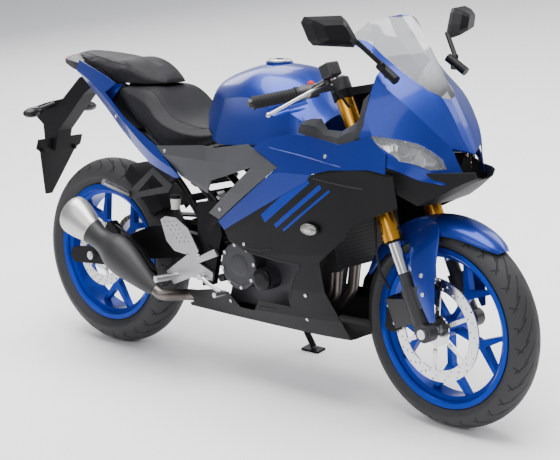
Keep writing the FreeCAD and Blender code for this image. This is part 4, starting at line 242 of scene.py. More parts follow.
class Finish:
    """A material that is built up around one surface shader."""

    def __init__(self, name, **sockets):
        self.material = bpy.data.materials.new(name)
        self.material.use_nodes = True
        self.tree = self.material.node_tree
        self.tree.nodes.clear()
        output = self.tree.nodes.new("ShaderNodeOutputMaterial")
        self.shader = self.tree.nodes.new("ShaderNodeBsdfPrincipled")
        self.tree.links.new(self.shader.outputs[0], output.inputs[0])
        self.set(**sockets)

    def set(self, **sockets):
        """Feeds the shader's sockets by name."""
        for name, value in sockets.items():
            self.feed(self.shader.inputs[name.replace("_", " ")], value)
        return self

    def feed(self, socket, value):
        """Links a value to a socket, or types it in."""
        if isinstance(value, Value):
            self.tree.links.new(value.socket, socket)
        elif socket.type == "RGBA":
            socket.default_value = tuple(value)[:3] + (1.0,)
        else:
            socket.default_value = value

    def node(self, kind, settings=None, inputs=None, output=0):
        """Adds a node with its settings and inputs, and gives its output."""
        made = self.tree.nodes.new(kind)
        for name, value in (settings or {}).items():
            setattr(made, name, value)
        for name, value in (inputs or {}).items():
            self.feed(made.inputs[name], value)
        return Value(self, made.outputs[output])

    def point(self):
        """Object coordinates."""
        return self.node("ShaderNodeTexCoord", output="Object")

    def stretched(self, scale):
        """Object coordinates stretched by the inverse of a scale for each axis."""
        return self.node("ShaderNodeMapping", {"vector_type": "TEXTURE"},
                         {"Vector": self.point(), "Scale": tuple(1 / s for s in scale)})

    def noise(self, scale, detail=3.0, rough=0.5, point=None):
        return self.node("ShaderNodeTexNoise", {},
                         {"Vector": point or self.point(), "Scale": scale, "Detail": detail,
                          "Roughness": rough}, "Fac")

    def cells(self, scale, output="Distance"):
        """A pattern of cells of a size that the scale gives."""
        return self.node("ShaderNodeTexVoronoi", {},
                         {"Vector": self.point(), "Scale": scale}, output)

    def along(self, axis, origin=(0, 0, 0)):
        """Distance along an axis from an origin, in the object's coordinates."""
        away = self.node("ShaderNodeVectorMath", {"operation": "SUBTRACT"},
                         {0: self.point(), 1: tuple(origin)})
        return self.node("ShaderNodeVectorMath", {"operation": "DOT_PRODUCT"},
                         {0: away, 1: tuple(axis)}, "Value")

    def box(self, low, high):
        """1 inside a box of the upright bike, 0 outside it."""
        edge = 0.001
        inside = None
        for axis in range(3):
            place = self.along(BIKE_AXES[axis], at(0, 0, 0))
            share = place.step(low[axis], low[axis] + edge) * place.step(high[axis],
                                                                        high[axis] - edge)
            inside = share if inside is None else inside * share
        return inside

    def mixed(self, share, first, second):
        """The first colour where the share is 0 and the second where it is 1."""
        return self.node("ShaderNodeMix", {"data_type": "RGBA"},
                         {0: share, 6: first, 7: second}, 2)

    def bump(self, height, distance, strength=1.0):
        """A normal that follows a height of a given depth in metres."""
        return self.node("ShaderNodeBump", {},
                         {"Height": height, "Distance": distance, "Strength": strength})


def lighter(colour, share):
    """A colour made lighter, or darker by a share below 1."""
    return tuple(min(1.0, c * share) for c in colour)


def body_paint():
    """Metallic paint under a clear coat."""
    finish = Finish("body_paint", Metallic=0.62, Coat_Weight=0.45, Coat_Roughness=0.06,
                    Coat_IOR=1.38)
    colour = tuple(sizes().paint)
    flake = finish.cells(1400.0, "Color")
    flake = finish.node("ShaderNodeSeparateColor", {}, {0: flake}, 0)
    cloud = finish.noise(3.0, 2.0)
    tone = (flake * 0.55 + cloud * 0.45)
    finish.set(Base_Color=finish.mixed(tone, lighter(colour, 0.72), lighter(colour, 1.45)),
               Roughness=0.27 + finish.noise(700.0, 2.0) * 0.10,
               Normal=finish.bump(finish.noise(240.0, 1.0), 0.00006))
    return finish


def satin(name, colour, roughness=0.42, grain=900.0, depth=0.00012, metallic=0.0):
    """A smooth or moulded finish with a fine grain."""
    finish = Finish(name, Metallic=metallic, Specular_IOR_Level=0.14)
    fine = finish.noise(grain, 3.0, 0.6)
    wide = finish.noise(9.0, 2.0)
    finish.set(Base_Color=finish.mixed(wide * 0.6 + fine * 0.4, lighter(colour, 0.75),
                                       lighter(colour, 1.35)),
               Roughness=roughness - 0.06 + wide * 0.12,
               Normal=finish.bump(fine, depth))
    return finish


def metal(name, colour, roughness=0.25, grain=(60.0, 900.0, 900.0), depth=0.00004):
    """Brushed or polished metal with fine lines."""
    finish = Finish(name, Metallic=1.0)
    drawn = finish.noise(1.0, 3.0, 0.6, finish.stretched(grain))
    wide = finish.noise(14.0, 2.0)
    finish.set(Base_Color=finish.mixed(drawn * 0.6 + wide * 0.4, lighter(colour, 0.86),
                                       lighter(colour, 1.08)),
               Roughness=roughness - 0.05 + drawn * 0.10,
               Normal=finish.bump(drawn, depth))
    return finish


def cast(name, colour, roughness=0.48, metallic=0.85):
    """Cast metal with a coarse grain."""
    finish = Finish(name, Metallic=metallic)
    grit = finish.noise(750.0, 4.0, 0.65)
    wide = finish.noise(22.0, 3.0)
    finish.set(Base_Color=finish.mixed(grit * 0.5 + wide * 0.5, lighter(colour, 0.70),
                                       lighter(colour, 1.30)),
               Roughness=roughness - 0.08 + wide * 0.16,
               Normal=finish.bump(grit, 0.00022))
    return finish


def tyre_rubber(name, joint, radius, half_width):
    """Rubber with tread grooves on the crown and fine rings on the side walls."""
    finish = Finish(name, Specular_IOR_Level=0.35)
    hub = wheel_frame(joint)
    origin = hub.translation
    ahead, side, up = (Vector(hub.col[i][:3]) for i in range(3))
    x, y, z = (finish.along(axis, origin) for axis in (ahead, side, up))
    angle = finish.node("ShaderNodeMath", {"operation": "ARCTAN2"}, {0: z, 1: x})
    out = (x * x + z * z).math("SQRT")
    across = abs(y) / half_width
    turn = angle * (sizes().tread_pitch_count / (2 * math.pi))

    def groove(lead, slant, width, inner, outer):
        lane = (turn + lead + across * slant).part()
        line = abs(lane - 0.5).step(width, width * 0.55)
        return line * across.step(inner, inner + 0.06) * across.step(outer, outer - 0.06)

    cut = groove(0.0, 2.1, 0.085, 0.10, 0.62)
    cut = cut.most(groove(0.5, 1.5, 0.070, 0.40, 0.88))
    cut = cut.most(groove(0.25, -0.8, 0.050, 0.68, 0.95))
    crown = out.step(radius - 0.055, radius - 0.045)
    cut = cut * crown
    rings = (out * 520.0).part().step(0.25, 0.6) * (1.0 - crown)
    band = out.step(radius - 0.066, radius - 0.064) * out.step(radius - 0.056, radius - 0.058)
    grit = finish.noise(1100.0, 3.0, 0.6)
    # The base colour is darker in the grooves, as painted shade, and a little lighter on each
    # side-wall ring, as a painted sheen.
    tone = grit * 0.35 + (1.0 - cut) * 0.5 + rings * 0.10
    finish.set(Base_Color=finish.mixed(tone, (0.004, 0.004, 0.004), (0.030, 0.030, 0.032)),
               Roughness=0.58 + grit * 0.10 + cut * 0.15 - band * 0.08,
               Normal=finish.bump((1.0 - cut) + rings * 0.06 + grit * 0.02 + band * 0.15, 0.0035))
    return finish


def seat_cover():
    """The seats' grained cover."""
    finish = Finish("seat_cover", Specular_IOR_Level=0.11)
    grain = finish.cells(620.0)
    fine = finish.noise(1600.0, 3.0)
    wide = finish.noise(12.0, 2.0)
    finish.set(Base_Color=finish.mixed(grain * 0.6 + wide * 0.4, (0.006, 0.006, 0.007),
                                       (0.017, 0.017, 0.019)),
               Roughness=0.42 + wide * 0.12,
               Normal=finish.bump(grain + fine * 0.3, 0.0006, 0.6))
    return finish


def smoked_screen():
    """The windscreen's tinted clear plastic."""
    finish = Finish("smoked_screen", Roughness=0.03, IOR=1.49, Coat_Weight=1.0)
    depth = finish.along((0, 0, 1), at(0.0, 0, 0.92))
    edge = depth.step(0.0, 0.10)
    haze = finish.noise(5.0, 2.0)
    finish.set(Base_Color=finish.mixed(edge, (0.030, 0.031, 0.034), (0.36, 0.37, 0.39)),
               Alpha=0.90 - edge * 0.30 + haze * 0.03)
    return finish


def clear_lens():
    """The headlights' clear lens."""
    finish = Finish("clear_lens", Roughness=0.02, IOR=1.49, Coat_Weight=0.5)
    haze = finish.noise(60.0, 2.0)
    finish.set(Base_Color=finish.mixed(haze, (0.80, 0.83, 0.86), (0.95, 0.97, 1.0)),
               Alpha=0.05 + haze * 0.04)
    return finish


def lamp_reflector():
    """Faceted reflector: each facet is painted bright or dark at random, as painted reflections.
    """
    finish = Finish("lamp_reflector", Metallic=0.9)
    facets = finish.node("ShaderNodeSeparateColor", {}, {0: finish.cells(30.0, "Color")}, 0)
    edges = finish.cells(30.0)
    grit = finish.noise(500.0, 2.0)
    # The bright and the dark facets are painted reflections.
    finish.set(Base_Color=finish.mixed(facets.step(0.15, 0.85) * 0.9 + grit * 0.1,
                                       (0.045, 0.044, 0.043), (0.62, 0.61, 0.60)),
               Roughness=0.16 + grit * 0.08, Normal=finish.bump(edges, 0.006))
    return finish


def striped_panel():
    """Satin black with slanted blue bands of different width across its upper half."""
    finish = Finish("striped_panel", Specular_IOR_Level=0.14)
    black = tuple(sizes().trim)
    blue = tuple(sizes().paint)
    slope = AHEAD * 0.60 - UPWARD * 0.80
    lead = AHEAD * 0.80 + UPWARD * 0.60
    off = finish.along(slope, at(0.92, 0, 0.62))
    run = finish.along(lead, at(0.92, 0, 0.62))
    bands = None
    for middle, half, start, end in ((0.010, 0.014, -0.090, 0.140), (0.052, 0.007, -0.060, 0.170),
                                     (0.078, 0.004, -0.040, 0.190)):
        band = abs(off - middle).step(half, half - 0.0012)
        band = band * run.step(start, start + 0.001) * run.step(end, end - 0.001)
        bands = band if bands is None else bands.most(band)
    fine = finish.noise(900.0, 3.0, 0.6)
    wide = finish.noise(9.0, 2.0)
    base = finish.mixed(wide * 0.6 + fine * 0.4, lighter(black, 0.75), lighter(black, 1.35))
    finish.set(Base_Color=finish.mixed(bands, base, lighter(blue, 1.1)),
               Roughness=0.36 + wide * 0.10 - bands * 0.08,
               Normal=finish.bump(fine, 0.00010))
    return finish


def ribbed_cover():
    """Grey cover plastic with a band of fine slanted ribs along the middle."""
    finish = Finish("ribbed_cover", Specular_IOR_Level=0.5)
    colour = tuple(sizes().cover)
    fine = finish.noise(900.0, 3.0, 0.6)
    wide = finish.noise(9.0, 2.0)
    slant = AHEAD * 0.75 - UPWARD * 0.66
    lane = (finish.along(slant) * 210.0).part()
    rib = abs(lane - 0.5).step(0.34, 0.22)
    reach = finish.along(AHEAD, at(0.60, 0, 0.70))
    shown = reach.step(0.0, 0.01)
    # The ribs' crests are painted lighter than the grooves between them, as a painted highlight.
    finish.set(Base_Color=finish.mixed(wide * 0.5 + fine * 0.3 + rib * shown * 0.4,
                                       lighter(colour, 0.75), lighter(colour, 1.45)),
               Roughness=0.38 + wide * 0.10,
               Normal=finish.bump(rib * shown + fine * 0.06, 0.0009))
    return finish


def fork_tube_and_foot():
    """Bright tube above, black foot below."""
    finish = Finish("fork_tube_and_foot")
    height = finish.along(FORK_AXES[2], FORK.translation)
    tube = height.step(0.176, 0.177)
    grit = finish.noise(700.0, 3.0, 0.6)
    finish.set(Base_Color=finish.mixed(tube, finish.mixed(grit, (0.010, 0.010, 0.011),
                                                          (0.022, 0.022, 0.024)),
                                       finish.mixed(grit, (0.72, 0.72, 0.74), (0.82, 0.82, 0.84))),
               Metallic=0.25 + tube * 0.75, Roughness=0.42 - tube * 0.30 + grit * 0.04,
               Normal=finish.bump(grit * (1.0 - tube), 0.00015))
    return finish


def muffler_barrel():
    """Dark painted barrel with a bright slanted end cap and a groove between them."""
    finish = Finish("muffler_barrel")
    lead = bike_way(-0.85, -0.12, 0.51).normalized()
    along = finish.along(lead, at(0.080, -0.245, 0.395))
    cap = along.step(0.0, 0.001)
    groove = abs(along).step(0.0035, 0.002)
    grit = finish.noise(800.0, 3.0, 0.6)
    wide = finish.noise(16.0, 3.0)
    brushed = finish.noise(1.0, 3.0, 0.6, finish.stretched((40.0, 700.0, 700.0)))
    dark = finish.mixed(grit * 0.5 + wide * 0.5, (0.010, 0.010, 0.011), (0.024, 0.024, 0.025))
    bright = finish.mixed(brushed * 0.6 + wide * 0.4, (0.40, 0.38, 0.36), (0.66, 0.65, 0.63))
    finish.set(Base_Color=finish.mixed(cap, dark, bright), Metallic=0.15 + cap * 0.80,
               Roughness=0.46 - cap * 0.12 + wide * 0.10,
               Normal=finish.bump(1.0 - groove + grit * 0.05, 0.0012))
    return finish


def footrest_metal():
    """Bright plates and pegs, with the passenger's brackets black."""
    finish = Finish("footrest_metal")
    black = finish.box((0.18, -0.1585, 0.500), (0.44, 0.1585, 0.700)).most(
        finish.box((0.36, -0.1520, 0.270), (0.66, 0.1520, 0.450)))
    grit = finish.noise(650.0, 3.0, 0.6)
    wide = finish.noise(20.0, 2.0)
    bright = finish.mixed(grit * 0.4 + wide * 0.6, (0.38, 0.38, 0.39), (0.58, 0.58, 0.59))
    dark = finish.mixed(grit * 0.5 + wide * 0.5, (0.008, 0.008, 0.009), (0.020, 0.020, 0.021))
    finish.set(Base_Color=finish.mixed(black, bright, dark), Metallic=1.0 - black * 0.8,
               Roughness=0.34 + black * 0.10 + wide * 0.06, Normal=finish.bump(grit, 0.0001))
    return finish


def signal_finish():
    """Clear ribbed lenses in front, dark pods at the back."""
    finish = Finish("signal_finish", Specular_IOR_Level=0.26)
    front = finish.along(AHEAD, at(0, 0, 0)).step(0.4, 0.41)
    ribs = (finish.along(AHEAD) * 190.0).part()
    haze = finish.noise(40.0, 2.0)
    ahead = finish.along(AHEAD, at(1.045, 0, 0.554)) / 0.034
    above = finish.along(UPWARD, at(1.045, 0, 0.554)) / 0.018
    out = (ahead * ahead + above * above).math("SQRT")
    rim = out.step(0.84, 0.90)
    bulb = out.step(0.50, 0.30)
    # The light and dark stripes across the front lens's ribs are painted glints; its lighter
    # middle is the bulb behind it.
    clear = finish.mixed(abs(ribs - 0.5) * 1.4 + bulb * 0.5,
                         (0.10, 0.10, 0.10), (0.52, 0.50, 0.46))
    clear = finish.mixed(rim, clear, (0.010, 0.010, 0.011))
    dark = finish.mixed(haze, (0.006, 0.006, 0.007), (0.016, 0.016, 0.017))
    finish.set(Base_Color=finish.mixed(front, dark, clear), Metallic=front * 0.6,
               Roughness=0.22 - front * 0.12 + haze * 0.05,
               Normal=finish.bump(abs(ribs - 0.5) * front, 0.0012))
    return finish


def tail_finish():
    """Black housing with a red lens on its back."""
    finish = Finish("tail_finish", Specular_IOR_Level=0.22)
    lens = finish.along(AHEAD, at(0, 0, 0)).step(-0.1800, -0.1805)
    ribs = (finish.along(LEFTWARD) * 150.0).part()
    haze = finish.noise(60.0, 2.0)
    # The lens is red, and its lighter and darker stripes across the ribs are painted glints.
    red = finish.mixed(abs(ribs - 0.5) * 1.6, (0.10, 0.002, 0.002), (0.42, 0.010, 0.008))
    dark = finish.mixed(haze, (0.006, 0.006, 0.007), (0.014, 0.014, 0.015))
    finish.set(Base_Color=finish.mixed(lens, dark, red), Roughness=0.26 + haze * 0.05,
               Normal=finish.bump(abs(ribs - 0.5) * lens, 0.0010))
    return finish


def radiator_core():
    """Thin upright fins across rows of flat tubes, with the gaps between fins and between rows
    painted darker, as painted shade.
    """
    finish = Finish("radiator_core", Metallic=0.6)
    fins = (finish.along(LEFTWARD) * 420.0).part()
    rows = (finish.along(UPWARD) * 95.0).part()
    fin = abs(fins - 0.5).step(0.30, 0.22)
    tube = abs(rows - 0.5).step(0.42, 0.38)
    grit = finish.noise(600.0, 3.0, 0.6)
    # The dark gaps between fins and rows are painted shade.
    finish.set(Base_Color=finish.mixed(fin * tube * 0.8 + grit * 0.2, (0.004, 0.004, 0.004),
                                       (0.050, 0.050, 0.052)),
               Roughness=0.50 + grit * 0.1, Normal=finish.bump(fin * tube, 0.0012))
    return finish


def chain_steel():
    """Side plates with pins along the chain's run."""
    finish = Finish("chain_steel", Metallic=0.9)
    reach = finish.along(AHEAD) * 63.0
    lane = reach.part()
    pin = abs(lane - 0.5).step(0.16, 0.13)
    gap = abs(lane - 0.5).step(0.46, 0.49)
    grit = finish.noise(700.0, 3.0, 0.6)
    finish.set(Base_Color=finish.mixed(pin * 0.6 + grit * 0.3, (0.060, 0.050, 0.035),
                                       (0.40, 0.34, 0.22)),
               Roughness=0.36 + grit * 0.14, Normal=finish.bump(pin + (1.0 - gap) * 0.8, 0.0014))
    return finish


def bar_finish():
    """Black bars and housings with bright levers in front of the grips."""
    finish = Finish("bar_finish")
    across, up = (finish.along(axis, FORK.translation) for axis in FORK_AXES[1:])
    lever = abs(across).step(0.196, 0.198) * up.step(0.7275, 0.7265)
    grit = finish.noise(600.0, 3.0, 0.6)
    wide = finish.noise(20.0, 2.0)
    dark = finish.mixed(grit * 0.5 + wide * 0.5, (0.006, 0.006, 0.0065), (0.014, 0.014, 0.015))
    bright = finish.mixed(grit * 0.4 + wide * 0.6, (0.42, 0.42, 0.43), (0.62, 0.62, 0.63))
    finish.set(Base_Color=finish.mixed(lever, dark, bright), Metallic=lever * 0.9,
               Roughness=0.42 - lever * 0.12 + wide * 0.06, Normal=finish.bump(grit, 0.0001))
    return finish


def screen_finish():
    """A dark display with pale bars of different length on it."""
    finish = Finish("display", Roughness=0.08, Coat_Weight=1.0)
    across = finish.along(LEFTWARD, at(0, 0, 0))
    up = finish.along(UPWARD, at(0, 0, 0.995))
    ticks = (across * 260.0).part()
    bar = abs(ticks - 0.5).step(0.34, 0.26) * up.step(0.010, 0.0105) * up.step(0.018, 0.0175)
    bar = bar * abs(across).step(0.052, 0.051)
    block = abs(across - 0.020).step(0.024, 0.0235) * abs(up + 0.006).step(0.006, 0.0055)
    haze = finish.noise(80.0, 2.0)
    shown = bar.most(block * 0.5)
    finish.set(Base_Color=finish.mixed(shown, finish.mixed(haze, (0.004, 0.004, 0.005),
                                                           (0.009, 0.009, 0.010)),
                                       (0.20, 0.22, 0.24)),
               Roughness=0.10 + haze * 0.04)
    return finish


def floor_finish():
    """The studio's light floor."""
    finish = Finish("floor", Specular_IOR_Level=0.2)
    grit = finish.noise(9.0, 3.0)
    finish.set(Base_Color=finish.mixed(grit, (0.86, 0.86, 0.865), (0.90, 0.90, 0.905)),
               Roughness=0.75 + grit * 0.08)
    return finish


# Modelling


def deselect():
    """Leaves edit mode, with nothing selected."""
    if bpy.context.object and bpy.context.object.mode != "OBJECT":
        bpy.ops.object.mode_set(mode="OBJECT")
    bpy.ops.object.select_all(action="DESELECT")


def only(piece):
    """Makes a piece the only selected and the active object."""
    deselect()
    piece.select_set(True)
    bpy.context.view_layer.objects.active = piece
    return piece


def pick_faces(test):
    """In edit mode, selects the faces whose middle and normal pass a test."""
    mesh = bmesh.from_edit_mesh(bpy.context.object.data)
    bpy.ops.mesh.select_mode(type="FACE")
    for face in mesh.faces:
        face.select_set(bool(test(face.calc_center_median(), face.normal)))
    bmesh.update_edit_mesh(bpy.context.object.data)


def pick_edges(test):
    """In edit mode, selects the edges whose two ends pass a test."""
    mesh = bmesh.from_edit_mesh(bpy.context.object.data)
    bpy.ops.mesh.select_mode(type="EDGE")
    for edge in mesh.edges:
        edge.select_set(bool(test(edge.verts[0].co, edge.verts[1].co)))
    bmesh.update_edit_mesh(bpy.context.object.data)


def applied(piece, kind, **settings):
    """Adds a modifier with its settings and applies it."""
    only(piece)
    modifier = piece.modifiers.new(kind.title(), kind)
    for name, value in settings.items():
        setattr(modifier, name, value)
    bpy.ops.object.modifier_apply(modifier=modifier.name)
    return piece


def grounded(piece):
    """Moves the piece's place into its mesh."""
    only(piece)
    bpy.ops.object.transform_apply(location=True, rotation=True, scale=True)
    return piece


def finished(piece, name, body, finish, angle=35.0):
    """Gives a piece its name, finish and body."""
    only(piece)
    bpy.ops.object.shade_smooth_by_angle(angle=math.radians(angle))
    piece.name = name
    piece.data.name = name
    piece.data.materials.clear()
    piece.data.materials.append(finish.material)
    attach(piece, body)
    return piece


def copies(template, places, name):
    """One object that holds a copy of the template's mesh at each place."""
    made = []
    for place in places:
        mesh = template.data.copy()
        mesh.transform(place)
        piece = bpy.data.objects.new(name, mesh)
        bpy.context.scene.collection.objects.link(piece)
        made.append(piece)
    deselect()
    for piece in made:
        piece.select_set(True)
    bpy.context.view_layer.objects.active = made[0]
    if len(made) > 1:
        bpy.ops.object.join()
    bpy.data.objects.remove(template)
    return bpy.context.view_layer.objects.active


def facing(place, normal, lead=Vector((1, 0, 0))):
    """A matrix at a place whose Z points along the normal."""
    up = Vector(normal).normalized()
    side = up.cross(lead)
    if side.length < 0.1:
        side = up.cross(Vector((0, 1, 0)))
    side.normalize()
    turned = Matrix((side.cross(up), side, up)).transposed().to_4x4()
    return Matrix.Translation(place) @ turned


# Trees by node, filled as they are asked for
TREES = {}


def tree_from(mesh):
    """A mesh's faces, ready for lines to be cast at them."""
    return BVHTree.FromPolygons([v.co.copy() for v in mesh.vertices],
                                [tuple(p.vertices) for p in mesh.polygons])


def tree_of(node):
    """A node's tree, kept for the next line that is cast at it."""
    if node not in TREES:
        TREES[node] = tree_from(NODES[node].data)
    return TREES[node]


def landing(node, x, z, side):
    """Where a line from the side, at (x, z) of the upright bike, first meets a node."""
    inward = bike_way(0, -side, 0).normalized()
    place, normal, _, _ = tree_of(node).ray_cast(at(x, side * BESIDE, z), inward)
    if place is None:
        raise RuntimeError("no surface of %s at %.3f %.3f" % (node, x, z))
    return place, (normal if normal.dot(inward) < 0 else -normal)


# Parts into which each stretch of a bead's line is divided
BEAD_PARTS = 6


def laid(node, points, side):
    """Points on a node's side under a line of (x, z) points; a stretch without metal is passed."""
    found = []
    inward = bike_way(0, -side, 0).normalized()
    for (x0, z0), (x1, z1) in zip(points, points[1:]):
        for step in range(BEAD_PARTS + 1):
            share = step / BEAD_PARTS
            start = at(x0 + (x1 - x0) * share, side * BESIDE, z0 + (z1 - z0) * share)
            place, _, _, distance = tree_of(node).ray_cast(start, inward)
            if place is not None and distance < NEAR_SIDE:
                found.append(place)
    return found


# A bolt's shoulder, socket rim and socket wall as shares of its radius, and its crown, socket
# depth and bevel as shares of its height
BOLT_SHOULDER, BOLT_RIM, BOLT_WALL = 0.30, 0.25, 0.04
BOLT_CROWN, BOLT_SOCKET, BOLT_BEVEL = 0.12, 0.55, 0.16
# The same for a nut: its top's rim and the wall round its sunk middle, then depth and bevel
NUT_RIM, NUT_WALL = 0.28, 0.10
NUT_SUNK, NUT_BEVEL = 0.35, 0.10


def button_bolt(radius, height):
    """A round head with a rounded shoulder and a sunk socket."""
    deselect()
    bpy.ops.mesh.primitive_cylinder_add(vertices=24, radius=radius, depth=height,
                                        location=(0, 0, height / 2))
    bolt = bpy.context.object
    grounded(bolt)
    bpy.ops.object.mode_set(mode="EDIT")
    pick_faces(lambda place, normal: normal.z > 0.9)
    bpy.ops.mesh.inset(thickness=radius * BOLT_SHOULDER, depth=height * BOLT_CROWN)
    bpy.ops.mesh.inset(thickness=radius * BOLT_RIM)
    bpy.ops.mesh.inset(thickness=radius * BOLT_WALL, depth=-height * BOLT_SOCKET)
    bpy.ops.object.mode_set(mode="OBJECT")
    return applied(bolt, "BEVEL", width=height * BOLT_BEVEL, segments=2, limit_method="ANGLE")


def hex_nut(radius, height):
    """A six-sided nut with a bevelled rim and a sunk middle."""
    deselect()
    bpy.ops.mesh.primitive_cylinder_add(vertices=6, radius=radius, depth=height,
                                        location=(0, 0, height / 2))
    nut = bpy.context.object
    grounded(nut)
    bpy.ops.object.mode_set(mode="EDIT")
    pick_faces(lambda place, normal: normal.z > 0.9)
    bpy.ops.mesh.inset(thickness=radius * NUT_RIM, depth=0)
    bpy.ops.mesh.inset(thickness=radius * NUT_WALL, depth=-height * NUT_SUNK)
    bpy.ops.object.mode_set(mode="OBJECT")
    return applied(nut, "BEVEL", width=height * NUT_BEVEL, segments=2, limit_method="ANGLE")


def hose(name, points, radius, body, finish):
    """A round hose or seam through points."""
    data = bpy.data.curves.new(name, "CURVE")
    data.dimensions = "3D"
    data.bevel_depth = radius
    data.bevel_resolution = 3
    data.resolution_u = 8
    data.use_fill_caps = True
    spline = data.splines.new("BEZIER")
    spline.bezier_points.add(len(points) - 1)
    for knot, point in zip(spline.bezier_points, points):
        knot.co = point
        knot.handle_left_type = knot.handle_right_type = "AUTO"
    bent = bpy.data.objects.new(name, data)
    bpy.context.scene.collection.objects.link(bent)
    only(bent)
    bpy.ops.object.convert(target="MESH")
    return finished(bpy.context.object, name, body, finish)


def turned_profile(steps, vertices=32):
    """A round piece built up from one circle: each step is (rise, share of the radius)."""
    deselect()
    bpy.ops.mesh.primitive_circle_add(vertices=vertices, radius=1.0, fill_type="NGON")
    piece = bpy.context.object
    bpy.ops.object.mode_set(mode="EDIT")
    bpy.ops.mesh.select_all(action="SELECT")
    radius, height = 1.0, 0.0
    for rise, share in steps:
        bpy.ops.mesh.extrude_region_move(TRANSFORM_OT_translate={"value": (0, 0, rise)})
        height += rise
        bpy.ops.transform.resize(value=(share / radius, share / radius, 1),
                                 center_override=(0, 0, height))
        radius = share
    bpy.ops.mesh.select_all(action="SELECT")
    bpy.ops.mesh.normals_make_consistent(inside=False)
    bpy.ops.object.mode_set(mode="OBJECT")
    return piece


def scaled(piece, radius, height):
    """Stretches a turned profile of radius and height 1 to its size."""
    piece.data.transform(Matrix.Diagonal((radius, radius, height, 1)))
    return piece


def node_copy(node, name):
    """A copy of a node with its loose triangles merged, left selected in edit mode."""
    piece = bpy.data.objects.new(name, NODES[node].data.copy())
    bpy.context.scene.collection.objects.link(piece)
    only(piece)
    bpy.ops.object.mode_set(mode="EDIT")
    bpy.ops.mesh.select_all(action="SELECT")
    bpy.ops.mesh.remove_doubles(threshold=MERGE)
    return piece


def skin_of(node, name, test):
    """A copy of those faces of a node that pass a test of place and normal."""
    piece = node_copy(node, name)
    pick_faces(lambda place, normal: not test(place, normal))
    bpy.ops.mesh.delete(type="FACE")
    bpy.ops.mesh.select_all(action="SELECT")
    bpy.ops.mesh.dissolve_limited(angle_limit=0.02)
    bpy.ops.object.mode_set(mode="OBJECT")
    if not piece.data.polygons:
        raise RuntimeError("no face of %s for %s" % (node, name))
    return piece


def edge_finish(node, finish, thickness):
    """Gives the cut edges of a thin shell a finish of their own."""
    mesh = NODES[node].data
    mesh.materials.append(finish.material)
    tree = tree_of(node)
    for face in mesh.polygons:
        _, _, _, depth = tree.ray_cast(face.center - face.normal * 0.0002, -face.normal)
        if depth is None or depth > thickness * 1.6:
            face.material_index = len(mesh.materials) - 1


# How far before a point a line starts that looks for the surface at it
BEFORE = 0.2
# How far beside a wheel's middle such a line starts
BESIDE_WHEEL = 0.3


def fork_landing(node, ahead, across, height, way):
    """Where a line through a point of the fork's frame, along a way of it, meets a node."""
    way = Vector(way)
    start = FORK @ (Vector((ahead, across, height)) - way * BEFORE)
    place, normal, _, _ = tree_of(node).ray_cast(start, FORK.to_3x3() @ way)
    if place is None:
        raise RuntimeError("no surface of %s at %.3f %.3f %.3f" % (node, ahead, across, height))
    return place, normal


def arms(node, frame_at, radius, side):
    """Angles about an axle at which a node has metal at a radius, one for each stretch."""
    hits = []
    for degree in range(360):
        angle = math.radians(degree)
        start = frame_at @ Vector((math.cos(angle) * radius, side * BESIDE_WHEEL,
                                   math.sin(angle) * radius))
        inward = (frame_at.to_3x3() @ Vector((0, -side, 0))).normalized()
        place, normal, _, _ = tree_of(node).ray_cast(start, inward)
        hits.append((place, normal) if place is not None else None)
    first = next((k for k in range(360) if hits[k] is None), None)
    if first is None:
        return []
    middles, run = [], []
    for k in range(first, first + 361):
        if hits[k % 360] is not None:
            run.append(k)
        elif run:
            middles.append(hits[run[len(run) // 2] % 360])
            run = []
    return middles


# The photo's camera about the upright bike, fitted to the outlines of both wheels
CAMERA_AZIMUTH = 42.0
CAMERA_ELEVATION = 11.38
CAMERA_ROLL = -0.2
CAMERA_DISTANCE = 4.541
CAMERA_TARGET = (0.753, 0, 0.482)
CAMERA_LENS = 95.9
CAMERA_SENSOR = 36.0
CAMERA_SHIFT = (-0.0084, -0.0012)
CAMERA_NEAREST = 0.05
FLOOR_RADIUS = 14.0
WORLD_COLOUR = (0.92, 0.95, 1.0, 1)
WORLD_STRENGTH = 0.50
# Area lights: name, place, width and power
LIGHTS = (("key", (1.2, -6.0, 4.6), 6.0, 190.0),
          ("top", (0.0, 0.0, 4.6), 6.0, 660.0),
          ("rear", (-4.6, 3.0, 3.4), 4.0, 150.0),
          ("left", (1.8, 5.4, 3.4), 4.4, 170.0))
# A light's depth as a share of its width, and the point that all of them aim at
LIGHT_DEPTH = 0.6
LIGHT_AIM = (0, 0, 0.6)


